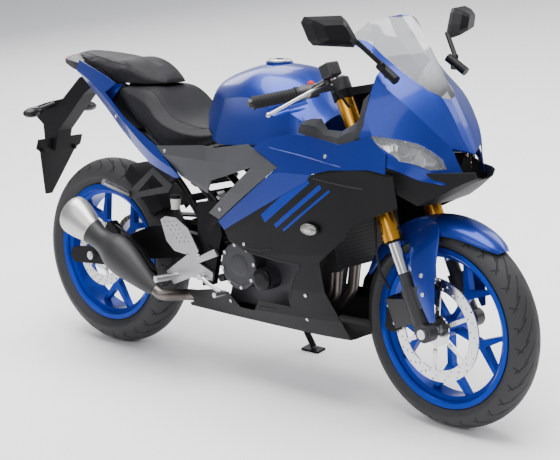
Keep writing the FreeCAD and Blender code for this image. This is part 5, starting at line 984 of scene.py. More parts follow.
class SPORTBIKE_OT_stage(bpy.types.Operator):
    """Adds the camera, the lights and the floor"""
    bl_idname = "sportbike.stage"
    bl_label = "Stage"

    def execute(self, context):
        scene = context.scene
        azimuth, elevation, roll = (
            math.radians(angle) for angle in (CAMERA_AZIMUTH, CAMERA_ELEVATION, CAMERA_ROLL))
        back = Vector((math.sin(azimuth) * math.cos(elevation),
                       -math.cos(azimuth) * math.cos(elevation), math.sin(elevation)))
        right = Vector((0, 0, 1)).cross(back).normalized()
        up = back.cross(right)
        turned_right = right * math.cos(roll) + up * math.sin(roll)
        turned_up = up * math.cos(roll) - right * math.sin(roll)
        turned = Matrix((turned_right, turned_up, back)).transposed().to_4x4()
        eye = Vector(CAMERA_TARGET) + back * CAMERA_DISTANCE
        data = bpy.data.cameras.new("camera")
        data.lens = CAMERA_LENS
        data.sensor_width = CAMERA_SENSOR
        data.shift_x, data.shift_y = CAMERA_SHIFT
        data.clip_start = CAMERA_NEAREST
        camera = bpy.data.objects.new("camera", data)
        camera.matrix_world = BIKE @ Matrix.Translation(eye) @ turned
        scene.collection.objects.link(camera)
        scene.camera = camera

        deselect()
        bpy.ops.mesh.primitive_circle_add(vertices=96, radius=FLOOR_RADIUS, fill_type="NGON")
        floor = bpy.context.object
        floor.name = "floor"
        floor.data.materials.append(floor_finish().material)

        world = bpy.data.worlds.new("studio")
        world.use_nodes = True
        background = world.node_tree.nodes["Background"]
        background.inputs["Color"].default_value = WORLD_COLOUR
        background.inputs["Strength"].default_value = WORLD_STRENGTH
        scene.world = world
        for name, place, size, power in LIGHTS:
            light = bpy.data.lights.new(name, "AREA")
            light.shape = "RECTANGLE"
            light.size = size
            light.size_y = size * LIGHT_DEPTH
            light.energy = power
            lamp = bpy.data.objects.new(name, light)
            lamp.matrix_world = facing(place, Vector(place) - Vector(LIGHT_AIM))
            scene.collection.objects.link(lamp)
        return {"FINISHED"}


# Finishes by name, filled by the finishes operator
FINISHES = {}


def finish_nodes(finish, *nodes):
    """Gives whole nodes one finish."""
    for node in nodes:
        mesh = NODES[node].data
        mesh.materials.clear()
        mesh.materials.append(finish.material)


class SPORTBIKE_OT_finishes(bpy.types.Operator):
    """Gives each CAD piece its finish"""
    bl_idname = "sportbike.finishes"
    bl_label = "Finishes"

    def execute(self, context):
        s = sizes()
        F = FINISHES
        F["paint"] = body_paint()
        F["rim"] = satin("rim_paint", lighter(tuple(s.paint), 1.25), 0.30, 700.0, 0.00004, 0.45)
        F["black"] = satin("black_plastic", tuple(s.trim))
        F["rough"] = satin("moulded_plastic", lighter(tuple(s.trim), 1.25), 0.55, 520.0, 0.00030)
        F["black_metal"] = satin("black_metal", lighter(tuple(s.trim), 1.05), 0.38, 600.0,
                                 0.00010, 0.3)
        F["stripes"] = striped_panel()
        F["cover"] = ribbed_cover()
        F["gold"] = metal("gold_tube", tuple(s.gold), 0.24, (900.0, 900.0, 60.0))
        F["chrome"] = metal("fork_chrome", (0.80, 0.80, 0.82), 0.10, (900.0, 900.0, 80.0), 0.00001)
        F["alloy"] = cast("bright_alloy", (0.62, 0.63, 0.65), 0.34, 1.0)
        F["steel"] = metal("ground_steel", (0.60, 0.60, 0.61), 0.26)
        F["disc"] = metal("disc_steel", (0.66, 0.66, 0.67), 0.24, (260.0, 260.0, 260.0))
        F["engine"] = cast("engine_casting", (0.045, 0.045, 0.050), 0.50, 0.5)
        F["radiator"] = radiator_core()
        F["header"] = metal("header_pipe", (0.16, 0.14, 0.13), 0.38)
        F["muffler"] = muffler_barrel()
        F["fork_foot"] = fork_tube_and_foot()
        F["footrest"] = footrest_metal()
        F["signals"] = signal_finish()
        F["tail_lamp"] = tail_finish()
        F["chain"] = chain_steel()
        F["rubber"] = satin("soft_rubber", (0.014, 0.014, 0.015), 0.62, 900.0, 0.00020)
        F["front_tyre"] = tyre_rubber("front_tyre_rubber", "front_wheel_spin", FRONT_RADIUS, 0.055)
        F["rear_tyre"] = tyre_rubber("rear_tyre_rubber", "rear_wheel_spin", REAR_RADIUS, 0.070)
        F["seat"] = seat_cover()
        F["smoke"] = smoked_screen()
        F["lens"] = clear_lens()
        F["reflector"] = lamp_reflector()
        F["mirror"] = metal("mirror_glass", (0.86, 0.88, 0.90), 0.03, (40.0, 40.0, 40.0), 0.0)
        F["bolt"] = metal("bolt_steel", (0.66, 0.66, 0.67), 0.22, (400.0, 400.0, 400.0))
        F["gloss"] = satin("gloss_black", (0.008, 0.008, 0.009), 0.12, 300.0, 0.00001)
        F["bright"] = metal("turned_alloy", (0.70, 0.71, 0.73), 0.20, (300.0, 300.0, 300.0))
        F["thread"] = satin("seat_thread", (0.030, 0.030, 0.033), 0.60, 900.0, 0.00010)
        F["bars"] = bar_finish()
        F["inner"] = satin("inner_trim", lighter(tuple(s.cover), 0.78), 0.50, 520.0, 0.00020)
        F["red"] = satin("red_switch", (0.55, 0.035, 0.020), 0.35, 500.0, 0.00004)
        F["white"] = satin("fluid_cup", (0.50, 0.50, 0.47), 0.30, 500.0, 0.00004)
        F["bead"] = satin("panel_bead", lighter(tuple(s.trim), 3.0), 0.34, 900.0, 0.00008)
        finish_nodes(F["paint"], "front_fender", "fuel_tank", "tail_panels", "shoulder_panels",
                     "nose_cowl")
        finish_nodes(F["rim"], "front_rim", "rear_rim")
        finish_nodes(F["stripes"], "lower_fairings")
        finish_nodes(F["cover"], "side_covers")
        finish_nodes(F["black"], "belly_pan", "mirrors", "chain_guard", "instrument_panel",
                     "muffler_cover")
        finish_nodes(F["rough"], "plate_bracket", "rear_mudguard", "nose_intake")
        finish_nodes(F["bars"], "handlebars")
        finish_nodes(F["black_metal"], "main_frame", "swingarm", "fork_clamps",
                     "front_caliper", "rear_caliper", "side_stand", "seat_stays", "panel_stays",
                     "nose_stay")
        finish_nodes(F["gold"], "fork_uppers")
        finish_nodes(F["fork_foot"], "fork_lowers")
        finish_nodes(F["footrest"], "footrests")
        finish_nodes(F["inner"], "inner_trims")
        finish_nodes(F["alloy"], "pedals", "front_axle", "rear_axle", "fuel_cap",
                     "rear_shock")
        finish_nodes(F["steel"], "sprocket")
        finish_nodes(F["chain"], "chain")
        finish_nodes(F["disc"], "front_disc", "rear_disc")
        finish_nodes(F["engine"], "engine")
        finish_nodes(F["radiator"], "radiator")
        finish_nodes(F["header"], "exhaust_header")
        finish_nodes(F["muffler"], "muffler")
        finish_nodes(F["rubber"], "front_brake_hose")
        finish_nodes(F["front_tyre"], "front_tyre")
        finish_nodes(F["rear_tyre"], "rear_tyre")
        finish_nodes(F["smoke"], "windscreen")
        edge_finish("windscreen", F["gloss"], 0.003)
        finish_nodes(F["lens"], "headlights")
        edge_finish("headlights", F["gloss"], 0.003)
        finish_nodes(F["signals"], "turn_signals")
        finish_nodes(F["tail_lamp"], "tail_light")
        return {"FINISHED"}


# Seat pads: how far a pad is drawn in before it swells, as a share of the most it may swell; how
# nearly a corner must look down to belong to the fixed base; pressure inside and frames of the
# simulation
PAD_DRAWN_IN = 0.5
PAD_BASE = 0.35
PAD_PRESSURE = 4.0
PAD_FRAMES = 20


def swollen(name, node, body, cap):
    """A seat pad: the CAD solid's shape, swelled by cloth simulation from its fixed base."""
    pad = node_copy(node, name)
    bpy.ops.mesh.normals_make_consistent(inside=False)
    bpy.ops.object.mode_set(mode="OBJECT")
    applied(pad, "REMESH", mode="VOXEL", voxel_size=sizes().seat_voxel)
    applied(pad, "DISPLACE", strength=-cap * PAD_DRAWN_IN, mid_level=0.0)
    applied(pad, "SMOOTH", iterations=2, factor=0.5)
    start = [v.co.copy() for v in pad.data.vertices]
    down = bike_way(0, 0, -1)
    fixed = pad.vertex_groups.new(name="fixed")
    base = [v.index for v in pad.data.vertices if v.normal.dot(down) > PAD_BASE]
    fixed.add(base, 1.0, "REPLACE")
    cloth = pad.modifiers.new("Cloth", "CLOTH")
    cloth.settings.vertex_group_mass = "fixed"
    cloth.settings.use_pressure = True
    cloth.settings.uniform_pressure_force = PAD_PRESSURE
    cloth.settings.effector_weights.gravity = 0.0
    for frame in range(1, PAD_FRAMES + 1):
        bpy.context.scene.frame_set(frame)
    seen = pad.evaluated_get(bpy.context.evaluated_depsgraph_get())
    moved = [v.co.copy() for v in seen.data.vertices]
    pad.modifiers.remove(cloth)
    bpy.context.scene.frame_set(1)
    pad.vertex_groups.clear()
    for vertex, before, after in zip(pad.data.vertices, start, moved):
        shift = after - before
        if shift.length > cap:
            shift = shift.normalized() * cap
        vertex.co = before + shift
    applied(pad, "SMOOTH", iterations=3, factor=0.5)
    applied(pad, "SUBSURF", levels=1, render_levels=1)
    finished(pad, name, body, FINISHES["seat"], 60.0)
    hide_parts(node)
    return pad


class SPORTBIKE_OT_seats(bpy.types.Operator):
    """Models the rider's and the passenger's seat as padded pieces"""
    bl_idname = "sportbike.seats"
    bl_label = "Seats"

    def execute(self, context):
        cap = sizes().seat_swell
        swollen("rider_pad", "rider_seat", "chassis", cap)
        swollen("pillion_pad", "pillion_seat", "chassis", cap)
        return {"FINISHED"}


# How far the reflector dishes lie behind the lenses
DISH_DEPTH = 0.034
# Lamp bowls in the nose's frame: (u, y, v) of the middle, and radius
LAMP_BOWLS = ((0.350, 0.150, -0.122, 0.024), (0.398, 0.126, -0.116, 0.021))
# Heights of a bowl's rim and of the edge of its hole, and its wall, as shares of its radius
BOWL_RIM = 0.1
BOWL_HOLE = -0.93
BOWL_THICKNESS = 0.06


class SPORTBIKE_OT_lamps(bpy.types.Operator):
    """Models the reflectors behind the headlight lenses"""
    bl_idname = "sportbike.lamps"
    bl_label = "Headlight reflectors"

    def execute(self, context):
        for side, tag in SIDES:
            # A dish that follows the lens at a small depth
            dish = node_copy("headlights", "lamp_dish_" + tag)
            middle = BIKE.inverted()
            pick_faces(lambda place, normal: (middle @ place).y * side < 0)
            bpy.ops.mesh.delete(type="FACE")
            bpy.ops.object.mode_set(mode="OBJECT")
            inward = -(NOSE.to_3x3() @ Vector((0.05, side * 0.55, 0.80))).normalized()
            dish.data.transform(Matrix.Translation(inward * DISH_DEPTH))
            finished(dish, "lamp_dish_" + tag, "chassis", FINISHES["reflector"])
        places = []
        for u, y, v, radius in LAMP_BOWLS:
            for side in (-1, 1):
                spot = NOSE @ Vector((u, side * y, v))
                out = (NOSE.to_3x3() @ Vector((0.25, side * 0.35, 0.80))).normalized()
                places.append(facing(spot, out) @ Matrix.Scale(radius, 4))
        deselect()
        bpy.ops.mesh.primitive_uv_sphere_add(segments=28, ring_count=16, radius=1.0)
        bowl = context.object
        bpy.ops.object.mode_set(mode="EDIT")
        bpy.ops.mesh.select_all(action="SELECT")
        bpy.ops.mesh.bisect(plane_co=(0, 0, BOWL_RIM), plane_no=(0, 0, 1), clear_outer=True)
        pick_faces(lambda place, normal: place.z < BOWL_HOLE)
        bpy.ops.mesh.delete(type="FACE")
        bpy.ops.object.mode_set(mode="OBJECT")
        applied(bowl, "SOLIDIFY", thickness=BOWL_THICKNESS, offset=1.0)
        bowls = copies(bowl, places, "lamp_bowls")
        finished(bowls, "lamp_bowls", "chassis", FINISHES["chrome"])
        return {"FINISHED"}


# Places in the fork's frame: ahead, to the left and up the steering axis
BAR_ROOT = (0.028, 0.1186, 0.731)
BAR_END = (-0.085, 0.335, 0.749)
# Where a grip starts on the bar and how much of the rest it covers
GRIP_START = 0.47
GRIP_COVER = 0.985
GRIP_RADIUS = 0.0171
GRIP_RIBS = 13
FORK_SEAL = (0.028, 0.100, 0.264)
FORK_CAP = (0.028, 0.100, 0.748)
BAR_HOSE = ((0.058, 0.174, 0.728), (0.058, 0.150, 0.706), (0.048, 0.118, 0.668),
            (0.040, 0.084, 0.612), (0.034, 0.062, 0.520))
SMALL_HOSE_RADIUS = 0.0042
STOP_SWITCH = (-0.002, -0.176, 0.740)
SWITCH_SIZE = (0.019, 0.013, 0.015)
# A mirror's glass: how nearly its faces look rearward, and the least height of them
MIRROR_FACING = 0.90
MIRROR_LOWEST = 1.060
CALIPER_PINS = ((-0.084, -0.062, 0.056), (-0.084, -0.062, 0.108))
# Middle of the instrument's screen on the upright bike, its slope and its size
SCREEN = (1.200, 0, 0.995)
SCREEN_SLOPE = 35.0
SCREEN_SIZE = (0.006, 0.142, 0.072)
SCREEN_BEHIND = 0.0178
# Turned profiles: rise and share of the radius, step by step
SEAL_PROFILE = ((0.0, 1.0), (0.25, 1.0), (0.10, 0.93), (0.30, 0.93), (0.10, 1.0), (0.25, 1.0),
                (0.0, 0.72))
GRIP_FLANGE = ((0.0, 1.22), (0.03, 1.22), (0.012, 1.0))
GRIP_RIB = ((0.020, 1.0), (0.004, 1.06), (0.038, 1.06), (0.004, 1.0))
GRIP_TIP = ((0.03, 1.0), (0.012, 1.16), (0.03, 1.16), (0.0, 0.70))
CAP_PROFILE = ((0.0, 1.0), (0.45, 1.0), (0.12, 0.86), (0.0, 0.62), (-0.12, 0.58), (0.0, 0.34),
               (0.25, 0.30), (0.0, 0.16))


class SPORTBIKE_OT_controls(bpy.types.Operator):
    """Models the grips, fork caps, hoses, switch, mirror glasses and the instrument's screen"""
    bl_idname = "sportbike.controls"
    bl_label = "Controls"

    def execute(self, context):
        F = FINISHES
        root, end = Vector(BAR_ROOT), Vector(BAR_END)
        start = root.lerp(end, GRIP_START)
        steps = GRIP_FLANGE + GRIP_RIB * GRIP_RIBS + GRIP_TIP
        grip = turned_profile(steps, 28)
        height = sum(step[0] for step in steps)
        length = (end - start).length * GRIP_COVER
        scaled(grip, GRIP_RADIUS, length / height)
        places = []
        for side in (-1, 1):
            a = FORK @ Vector((start.x, start.y * side, start.z))
            b = FORK @ Vector((end.x, end.y * side, end.z))
            places.append(facing(a, b - a))
        finished(copies(grip, places, "grips"), "grips", "steering", F["rubber"])

        for name, profile, (x, y, z), radius, rise, finish, slot in (
                ("fork_seals", SEAL_PROFILE, FORK_SEAL, 0.0262, 0.022, F["gloss"], "black_metal"),
                ("fork_caps", CAP_PROFILE, FORK_CAP, 0.0235, 0.012, F["bright"], "alloy")):
            ring = scaled(turned_profile(profile), radius, rise)
            places = [FORK @ Matrix.Translation((x, side * y, z)) for side in (-1, 1)]
            finished(copies(ring, places, name), name, "steering", finish)

        for side, tag in SIDES:
            hose("bar_hose_" + tag, [FORK @ Vector((x, side * y, z)) for x, y, z in BAR_HOSE],
                 SMALL_HOSE_RADIUS, "steering", F["rubber"])

        deselect()
        bpy.ops.mesh.primitive_cube_add(size=1.0)
        switch = context.object
        switch.scale = SWITCH_SIZE
        grounded(switch)
        applied(switch, "BEVEL", width=0.0018, segments=3, limit_method="ANGLE")
        place, normal = fork_landing("handlebars", *STOP_SWITCH, (0, 0, -1))
        finished(copies(switch, [facing(place, normal, end - root)], "stop_switch"), "stop_switch",
                 "steering", F["red"])

        pins = [facing(*fork_landing("front_caliper", *place, (0, 1, 0)))
                for place in CALIPER_PINS]
        finished(copies(button_bolt(0.0062, 0.0040), pins, "caliper_pins"), "caliper_pins",
                 "steering", F["bolt"])

        rearward = bike_way(-1, 0, 0)
        back = BIKE.inverted()
        glass = skin_of("mirrors", "mirror_glasses", lambda place, normal: (
            normal.dot(rearward) > MIRROR_FACING and (back @ place).z > MIRROR_LOWEST))
        only(glass)
        bpy.ops.object.mode_set(mode="EDIT")
        bpy.ops.mesh.select_all(action="SELECT")
        bpy.ops.mesh.inset(thickness=0.004, depth=0.0006)
        bpy.ops.mesh.select_all(action="INVERT")
        bpy.ops.mesh.delete(type="FACE")
        bpy.ops.object.mode_set(mode="OBJECT")
        finished(glass, "mirror_glasses", "chassis", F["mirror"])

        panel = BIKE @ Matrix.Translation(SCREEN) @ Matrix.Rotation(
            math.radians(SCREEN_SLOPE), 4, "Y")
        deselect()
        bpy.ops.mesh.primitive_cube_add(size=1.0)
        bezel = context.object
        bezel.scale = SCREEN_SIZE
        grounded(bezel)
        bpy.ops.object.mode_set(mode="EDIT")
        pick_faces(lambda place, normal: normal.x < -0.9)
        bpy.ops.mesh.inset(thickness=0.006)
        bpy.ops.mesh.inset(thickness=0.001, depth=-0.0022)
        bpy.ops.object.mode_set(mode="OBJECT")
        applied(bezel, "BEVEL", width=0.0008, segments=2, limit_method="ANGLE")
        bezel.data.transform(panel @ Matrix.Translation((-SCREEN_BEHIND, 0, 0)))
        finished(bezel, "panel_screen", "chassis", screen_finish())
        return {"FINISHED"}


# Places on the upright bike
CLUTCH_COVER = (0.700, -0.1455, 0.385)
ALTERNATOR_COVER = (0.715, 0.1395, 0.370)
OIL_FILTER = (0.800, -0.1495, 0.360)
# Radii of the covers, and how far inside their rims the bolts stand
CLUTCH_RADIUS = 0.071
ALTERNATOR_RADIUS = 0.065
COVER_HEIGHT = 0.010
BOLT_INSET = 0.0055
COVER_BOLTS = 8
# (x, z) on the node's side
BRACKET_BOLTS = ((0.540, 0.394), (0.540, 0.329))
PIVOT_PLUG = (0.574, 0.415)
# Rings of bolts: node, joint, side, and the radii that are tried in turn
BOLT_RINGS = (("front_disc", "front_wheel_spin", -1, (0.062, 0.070, 0.080)),
              ("rear_disc", "rear_wheel_spin", -1, (0.056, 0.062, 0.050)),
              ("sprocket", "rear_wheel_spin", 1, (0.050, 0.058, 0.066)))
CAP_SCREWS = 6
CAP_SCREW_RING = 0.029
COVER_PROFILE = ((0.0, 1.0), (0.30, 1.0), (0.10, 0.96), (0.0, 0.86), (-0.22, 0.83), (0.0, 0.50),
                 (0.30, 0.46), (0.10, 0.42), (0.0, 0.20))
FILTER_PROFILE = ((0.0, 1.0), (0.10, 1.03), (0.55, 1.03), (0.20, 0.90), (0.0, 0.62), (0.10, 0.58),
                  (0.0, 0.30))
PLUG_PROFILE = ((0.0, 1.0), (0.5, 1.0), (0.2, 0.9), (0.0, 0.66), (-0.5, 0.62), (0.0, 0.30))
LOCK_PROFILE = ((0.0, 1.0), (0.5, 1.0), (0.3, 0.9), (0.0, 0.55), (-0.2, 0.5), (0.0, 0.2))


class SPORTBIKE_OT_covers(bpy.types.Operator):
    """Models the engine's cover rims and bolts, the brake bolts and the fuel cap's lock"""
    bl_idname = "sportbike.covers"
    bl_label = "Covers and bolts"

    def execute(self, context):
        F = FINISHES
        spots = []
        for name, middle, side, radius in (
                ("clutch_cover", CLUTCH_COVER, -1, CLUTCH_RADIUS),
                ("alternator_cover", ALTERNATOR_COVER, 1, ALTERNATOR_RADIUS)):
            plate = scaled(turned_profile(COVER_PROFILE, 48), radius, COVER_HEIGHT)
            cover_at = facing(at(*middle), bike_way(0, side, 0))
            finished(copies(plate, [cover_at], name), name, "chassis", F["engine"])
            for k in range(COVER_BOLTS):
                turn = Matrix.Rotation(math.radians(360 / COVER_BOLTS * k + 12), 4, "Z")
                spots.append(cover_at @ turn
                             @ Matrix.Translation((radius - BOLT_INSET, 0, 0.0040)))
        finished(copies(hex_nut(0.0062, 0.0040), spots, "cover_bolts"), "cover_bolts", "chassis",
                 F["bolt"])
        can = scaled(turned_profile(FILTER_PROFILE, 16), 0.033, 0.014)
        filter_at = facing(at(*OIL_FILTER), bike_way(0, -1, 0))
        finished(copies(can, [filter_at], "oil_filter"), "oil_filter", "chassis", F["gloss"])

        places = [facing(*landing("footrests", x, z, side)) for side in (-1, 1)
                  for x, z in BRACKET_BOLTS]
        finished(copies(button_bolt(0.0085, 0.006), places, "bracket_bolts"), "bracket_bolts",
                 "chassis", F["bolt"])
        places = [facing(*landing("main_frame", *PIVOT_PLUG, side)) for side in (-1, 1)]
        plug = scaled(turned_profile(PLUG_PROFILE), 0.017, 0.004)
        finished(copies(plug, places, "pivot_plugs"), "pivot_plugs",
                 "chassis", F["black_metal"])

        for node, joint, side, radii in BOLT_RINGS:
            hub = wheel_frame(joint)
            for radius in radii:
                found = arms(node, hub, radius, side)
                if 3 <= len(found) <= 8:
                    break
            else:
                continue
            spots = [facing(place, hub.to_3x3() @ Vector((0, side, 0))) for place, _ in found]
            finished(copies(button_bolt(0.0062, 0.0036), spots, node + "_bolts"), node + "_bolts",
                     JOINTS[joint]["child"], F["bolt"])

        cap_body = JOINTS["fuel_cap_lid"]["child"]
        low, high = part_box("fuel_cap")
        middle = (Vector(low) + Vector(high)) / 2
        up = bike_way(0, 0, 1)
        place, normal, _, _ = tree_of("fuel_cap").ray_cast(middle + up * BEFORE, -up)
        ring_at = facing(place, normal)
        spots = [ring_at @ Matrix.Rotation(math.radians(360 / CAP_SCREWS * k + 30), 4, "Z")
                 @ Matrix.Translation((CAP_SCREW_RING, 0, 0)) for k in range(CAP_SCREWS)]
        finished(copies(button_bolt(0.0036, 0.0016), spots, "cap_screws"), "cap_screws", cap_body,
                 F["bolt"])
        lock = scaled(turned_profile(LOCK_PROFILE), 0.0125, 0.003)
        finished(copies(lock, [ring_at], "cap_lock"), "cap_lock", cap_body, F["gloss"])
        return {"FINISHED"}


# Seams of each pad: (x, distance from the middle plane) on the upright bike
SEAMS = (("rider_pad", ((0.20, 0.080), (0.30, 0.100), (0.40, 0.112), (0.50, 0.098),
                        (0.58, 0.066))),
         ("pillion_pad", ((-0.10, 0.040), (-0.02, 0.064), (0.08, 0.078), (0.185, 0.082))))
SEAM_PARTS = 8
SEAM_RADIUS = 0.0014
SEAM_DEPTH = 0.0002
# Each stitch lies beside the seam: how far, and half its length, width and height
STITCH_BESIDE = 0.0042
STITCH_SIZE = (0.0030, 0.0006, 0.0005)


def on_seat(tree, line, side):
    """Points and normals of a seat's surface under a line of (x, y) points."""
    down = bike_way(0, 0, -1)
    tops = []
    for (x0, y0), (x1, y1) in zip(line, line[1:]):
        for part in range(SEAM_PARTS):
            share = part / SEAM_PARTS
            x = x0 * (1 - share) + x1 * share
            y = y0 * (1 - share) + y1 * share
            place, normal, _, _ = tree.ray_cast(at(x, side * y, ABOVE_SEATS), down)
            if place is None:
                raise RuntimeError("no seat under a seam at %.3f %.3f" % (x, side * y))
            tops.append((place, normal))
    return tops


class SPORTBIKE_OT_seams(bpy.types.Operator):
    """Lays seams and stitches on the finished seats"""
    bl_idname = "sportbike.seams"
    bl_label = "Seat seams"

    def execute(self, context):
        F = FINISHES
        down = bike_way(0, 0, -1)
        places = []
        for pad, line in SEAMS:
            tree = tree_from(bpy.data.objects[pad].data)
            for side, tag in SIDES:
                tops = on_seat(tree, line, side)
                hose("%s_seam_%s" % (pad, tag),
                     [place - normal * SEAM_DEPTH for place, normal in tops],
                     SEAM_RADIUS, "chassis", F["seat"])
                for (place, normal), (after, _) in zip(tops, tops[1:]):
                    lead = (after - place).normalized()
                    across = lead.cross(normal).normalized()
                    spot = (place + after) / 2 + across * STITCH_BESIDE
                    place, normal, _, _ = tree.ray_cast(spot - down * 0.05, down)
                    if place is not None:
                        places.append(facing(place, normal, lead)
                                      @ Matrix.Diagonal(STITCH_SIZE + (1,)))
        deselect()
        bpy.ops.mesh.primitive_uv_sphere_add(segments=10, ring_count=6, radius=1.0)
        finished(copies(context.object, places, "seat_stitches"), "seat_stitches", "chassis",
                 F["thread"])
        return {"FINISHED"}


def strip(rows):
    """A sheet built up from rows of points, each row extruded from the one before."""
    deselect()
    bpy.ops.mesh.primitive_circle_add(vertices=len(rows[0]), radius=0.01)
    piece = bpy.context.object
    bpy.ops.object.mode_set(mode="EDIT")
    mesh = bmesh.from_edit_mesh(piece.data)
    mesh.verts.ensure_lookup_table()
    for vertex, point in zip(mesh.verts, rows[0]):
        vertex.co = point
    if len(rows[0]) > 2:
        ends = {tuple(mesh.verts[0].co), tuple(mesh.verts[-1].co)}
        pick_edges(lambda a, b: {a[:], b[:]} == ends)
        bpy.ops.mesh.delete(type="EDGE")
    bpy.ops.mesh.select_mode(type="VERT")
    bpy.ops.mesh.select_all(action="SELECT")
    for row in rows[1:]:
        bpy.ops.mesh.extrude_region_move(TRANSFORM_OT_translate={"value": (0, 0, 0.001)})
        mesh = bmesh.from_edit_mesh(piece.data)
        fresh = sorted((v for v in mesh.verts if v.select), key=lambda v: v.index)
        for vertex, point in zip(fresh, row):
            vertex.co = point
        bmesh.update_edit_mesh(piece.data)
    bpy.ops.mesh.select_all(action="SELECT")
    bpy.ops.mesh.normals_make_consistent(inside=False)
    bpy.ops.object.mode_set(mode="OBJECT")
    return piece


def outward_strip(rows, outward):
    """A strip whose front looks outward."""
    piece = strip(rows)
    if sum((p.normal for p in piece.data.polygons), Vector()).dot(outward) < 0:
        piece.data.flip_normals()
    return piece


# Sheets between the tail panels and the seats: (x, z) of the upper and the lower edge
TAIL_BORDER = (((0.011, 0.938), (0.000, 0.922)), ((0.040, 0.930), (0.019, 0.904)),
               ((0.074, 0.915), (0.043, 0.883)), ((0.112, 0.902), (0.057, 0.864)),
               ((0.150, 0.892), (0.076, 0.846)), ((0.163, 0.868), (0.090, 0.818)),
               ((0.176, 0.830), (0.120, 0.790)), ((0.226, 0.789), (0.176, 0.752)),
               ((0.281, 0.743), (0.234, 0.726)), ((0.312, 0.714), (0.275, 0.701)))
TAIL_CREST = (((0.080, 0.884), (0.062, 0.856)), ((0.110, 0.891), (0.074, 0.842)),
              ((0.154, 0.892), (0.093, 0.829)))


# How far from the middle plane each sheet stands
BORDER_ACROSS = 0.096
CREST_ACROSS = 0.108
# Share of the way down a sheet, and how far it bulges there
SHEET_BULGE = ((0, 0.0), (0.5, 0.002), (1, 0.0))
SHEET_THICKNESS = 0.0026
CUP = (0.412, -0.130, 0.522)
LID = (0.412, -0.130, 0.556)
CUP_PROFILE = ((0.0, 0.80), (0.6, 0.94), (0.2, 1.0), (0.2, 1.0), (0.0, 0.90))
LID_PROFILE = ((0.0, 1.0), (0.7, 1.0), (0.2, 0.92), (0.0, 0.70), (0.1, 0.66), (0.0, 0.20))
FLUID_HOSE = ((0.412, -0.130, 0.524), (0.420, -0.129, 0.506), (0.440, -0.126, 0.492),
              (0.436, -0.122, 0.468))


class SPORTBIKE_OT_tail(bpy.types.Operator):
    """Models the sheets between the tail panels and the seats, and the rear brake's fluid cup"""
    bl_idname = "sportbike.tail"
    bl_label = "Tail"

    def execute(self, context):
        F = FINISHES
        for name, corners, across, finish, slot in (
                ("tail_border", TAIL_BORDER, BORDER_ACROSS, F["rough"], "black_plastic"),
                ("tail_crest", TAIL_CREST, CREST_ACROSS, F["paint"], "blue_plastic")):
            for side, tag in SIDES:
                rows = [[at(x0 + (x1 - x0) * share, side * (across + bulge),
                            z0 + (z1 - z0) * share) for share, bulge in SHEET_BULGE]
                        for (x0, z0), (x1, z1) in corners]
                sheet = outward_strip(rows, bike_way(0, side, 0))
                applied(sheet, "SOLIDIFY", thickness=SHEET_THICKNESS, offset=-1.0)
                applied(sheet, "BEVEL", width=0.0006, segments=2, limit_method="ANGLE")
                finished(sheet, "%s_%s" % (name, tag), "chassis", finish)

        for name, profile, middle, radius, rise, finish, slot in (
                ("fluid_cup", CUP_PROFILE, CUP, 0.0165, 0.034, F["white"], "grey_plastic"),
                ("fluid_lid", LID_PROFILE, LID, 0.0180, 0.011, F["rough"], "black_plastic")):
            turned = scaled(turned_profile(profile), radius, rise)
            place = facing(at(*middle), bike_way(0, 0, 1))
            finished(copies(turned, [place], name), name, "chassis", finish)
        hose("fluid_hose", [at(*point) for point in FLUID_HOSE], SMALL_HOSE_RADIUS, "chassis",
             F["rubber"])
        return {"FINISHED"}


# Rows of the front fender's side arm, low to high: height, then (ahead, across) of its two edges
FENDER_ARM = ((0.022, (0.066, 0.113), (0.088, 0.112)), (0.050, (0.063, 0.1145), (0.099, 0.1135)),
              (0.080, (0.061, 0.115), (0.110, 0.114)), (0.134, (0.059, 0.114), (0.134, 0.110)),
              (0.190, (0.060, 0.104), (0.158, 0.097)), (0.236, (0.062, 0.086), (0.172, 0.078)),
              (0.262, (0.066, 0.0665), (0.168, 0.0620)), (0.276, (0.068, 0.0570), (0.162, 0.0530)))


# Share of the way from one edge to the other, and how far the arm bulges there
ARM_BULGE = ((0, 0.0), (0.2, 0.0022), (0.5, 0.0030), (0.8, 0.0020), (1, -0.003))
ARM_THICKNESS = 0.003
# Height and distance ahead of the arm's bolts, and their size against the panel bolts'
ARM_BOLTS = ((0.102, 0.083), (0.152, 0.096))
ARM_BOLT_WIDER = 1.15
ARM_BOLT_HIGHER = 1.2


class SPORTBIKE_OT_fender(bpy.types.Operator):
    """Models the front fender's side arms with their bolts"""
    bl_idname = "sportbike.fender"
    bl_label = "Fender arms"

    def execute(self, context):
        F = FINISHES
        s = sizes()
        bolts = []
        for side, tag in SIDES:
            rows = []
            for height, (x0, y0), (x1, y1) in FENDER_ARM:
                rows.append([FORK @ Vector((x0 + (x1 - x0) * share,
                                            side * (y0 + (y1 - y0) * share + bulge), height))
                             for share, bulge in ARM_BULGE])
            outward = FORK.to_3x3() @ Vector((0, side, 0))
            arm = outward_strip(rows, outward)
            applied(arm, "SUBSURF", levels=2, render_levels=2, subdivision_type="CATMULL_CLARK")
            applied(arm, "SOLIDIFY", thickness=ARM_THICKNESS, offset=-1.0)
            applied(arm, "BEVEL", width=0.0007, segments=2, limit_method="ANGLE")
            arm = finished(arm, "fender_arm_" + tag, "steering", F["paint"], 40.0)
            tree = tree_from(arm.data)
            for height, ahead in ARM_BOLTS:
                start = FORK @ Vector((ahead, side * BESIDE_WHEEL, height))
                place, normal, _, _ = tree.ray_cast(start, -outward)
                if place is None:
                    raise RuntimeError("no fender arm under a bolt")
                bolts.append(facing(place, normal if normal.dot(outward) > 0 else -normal))
        head = button_bolt(s.bolt_radius * ARM_BOLT_WIDER, s.bolt_height * ARM_BOLT_HIGHER)
        finished(copies(head, bolts, "fender_bolts"), "fender_bolts", "steering", F["bolt"])
        return {"FINISHED"}


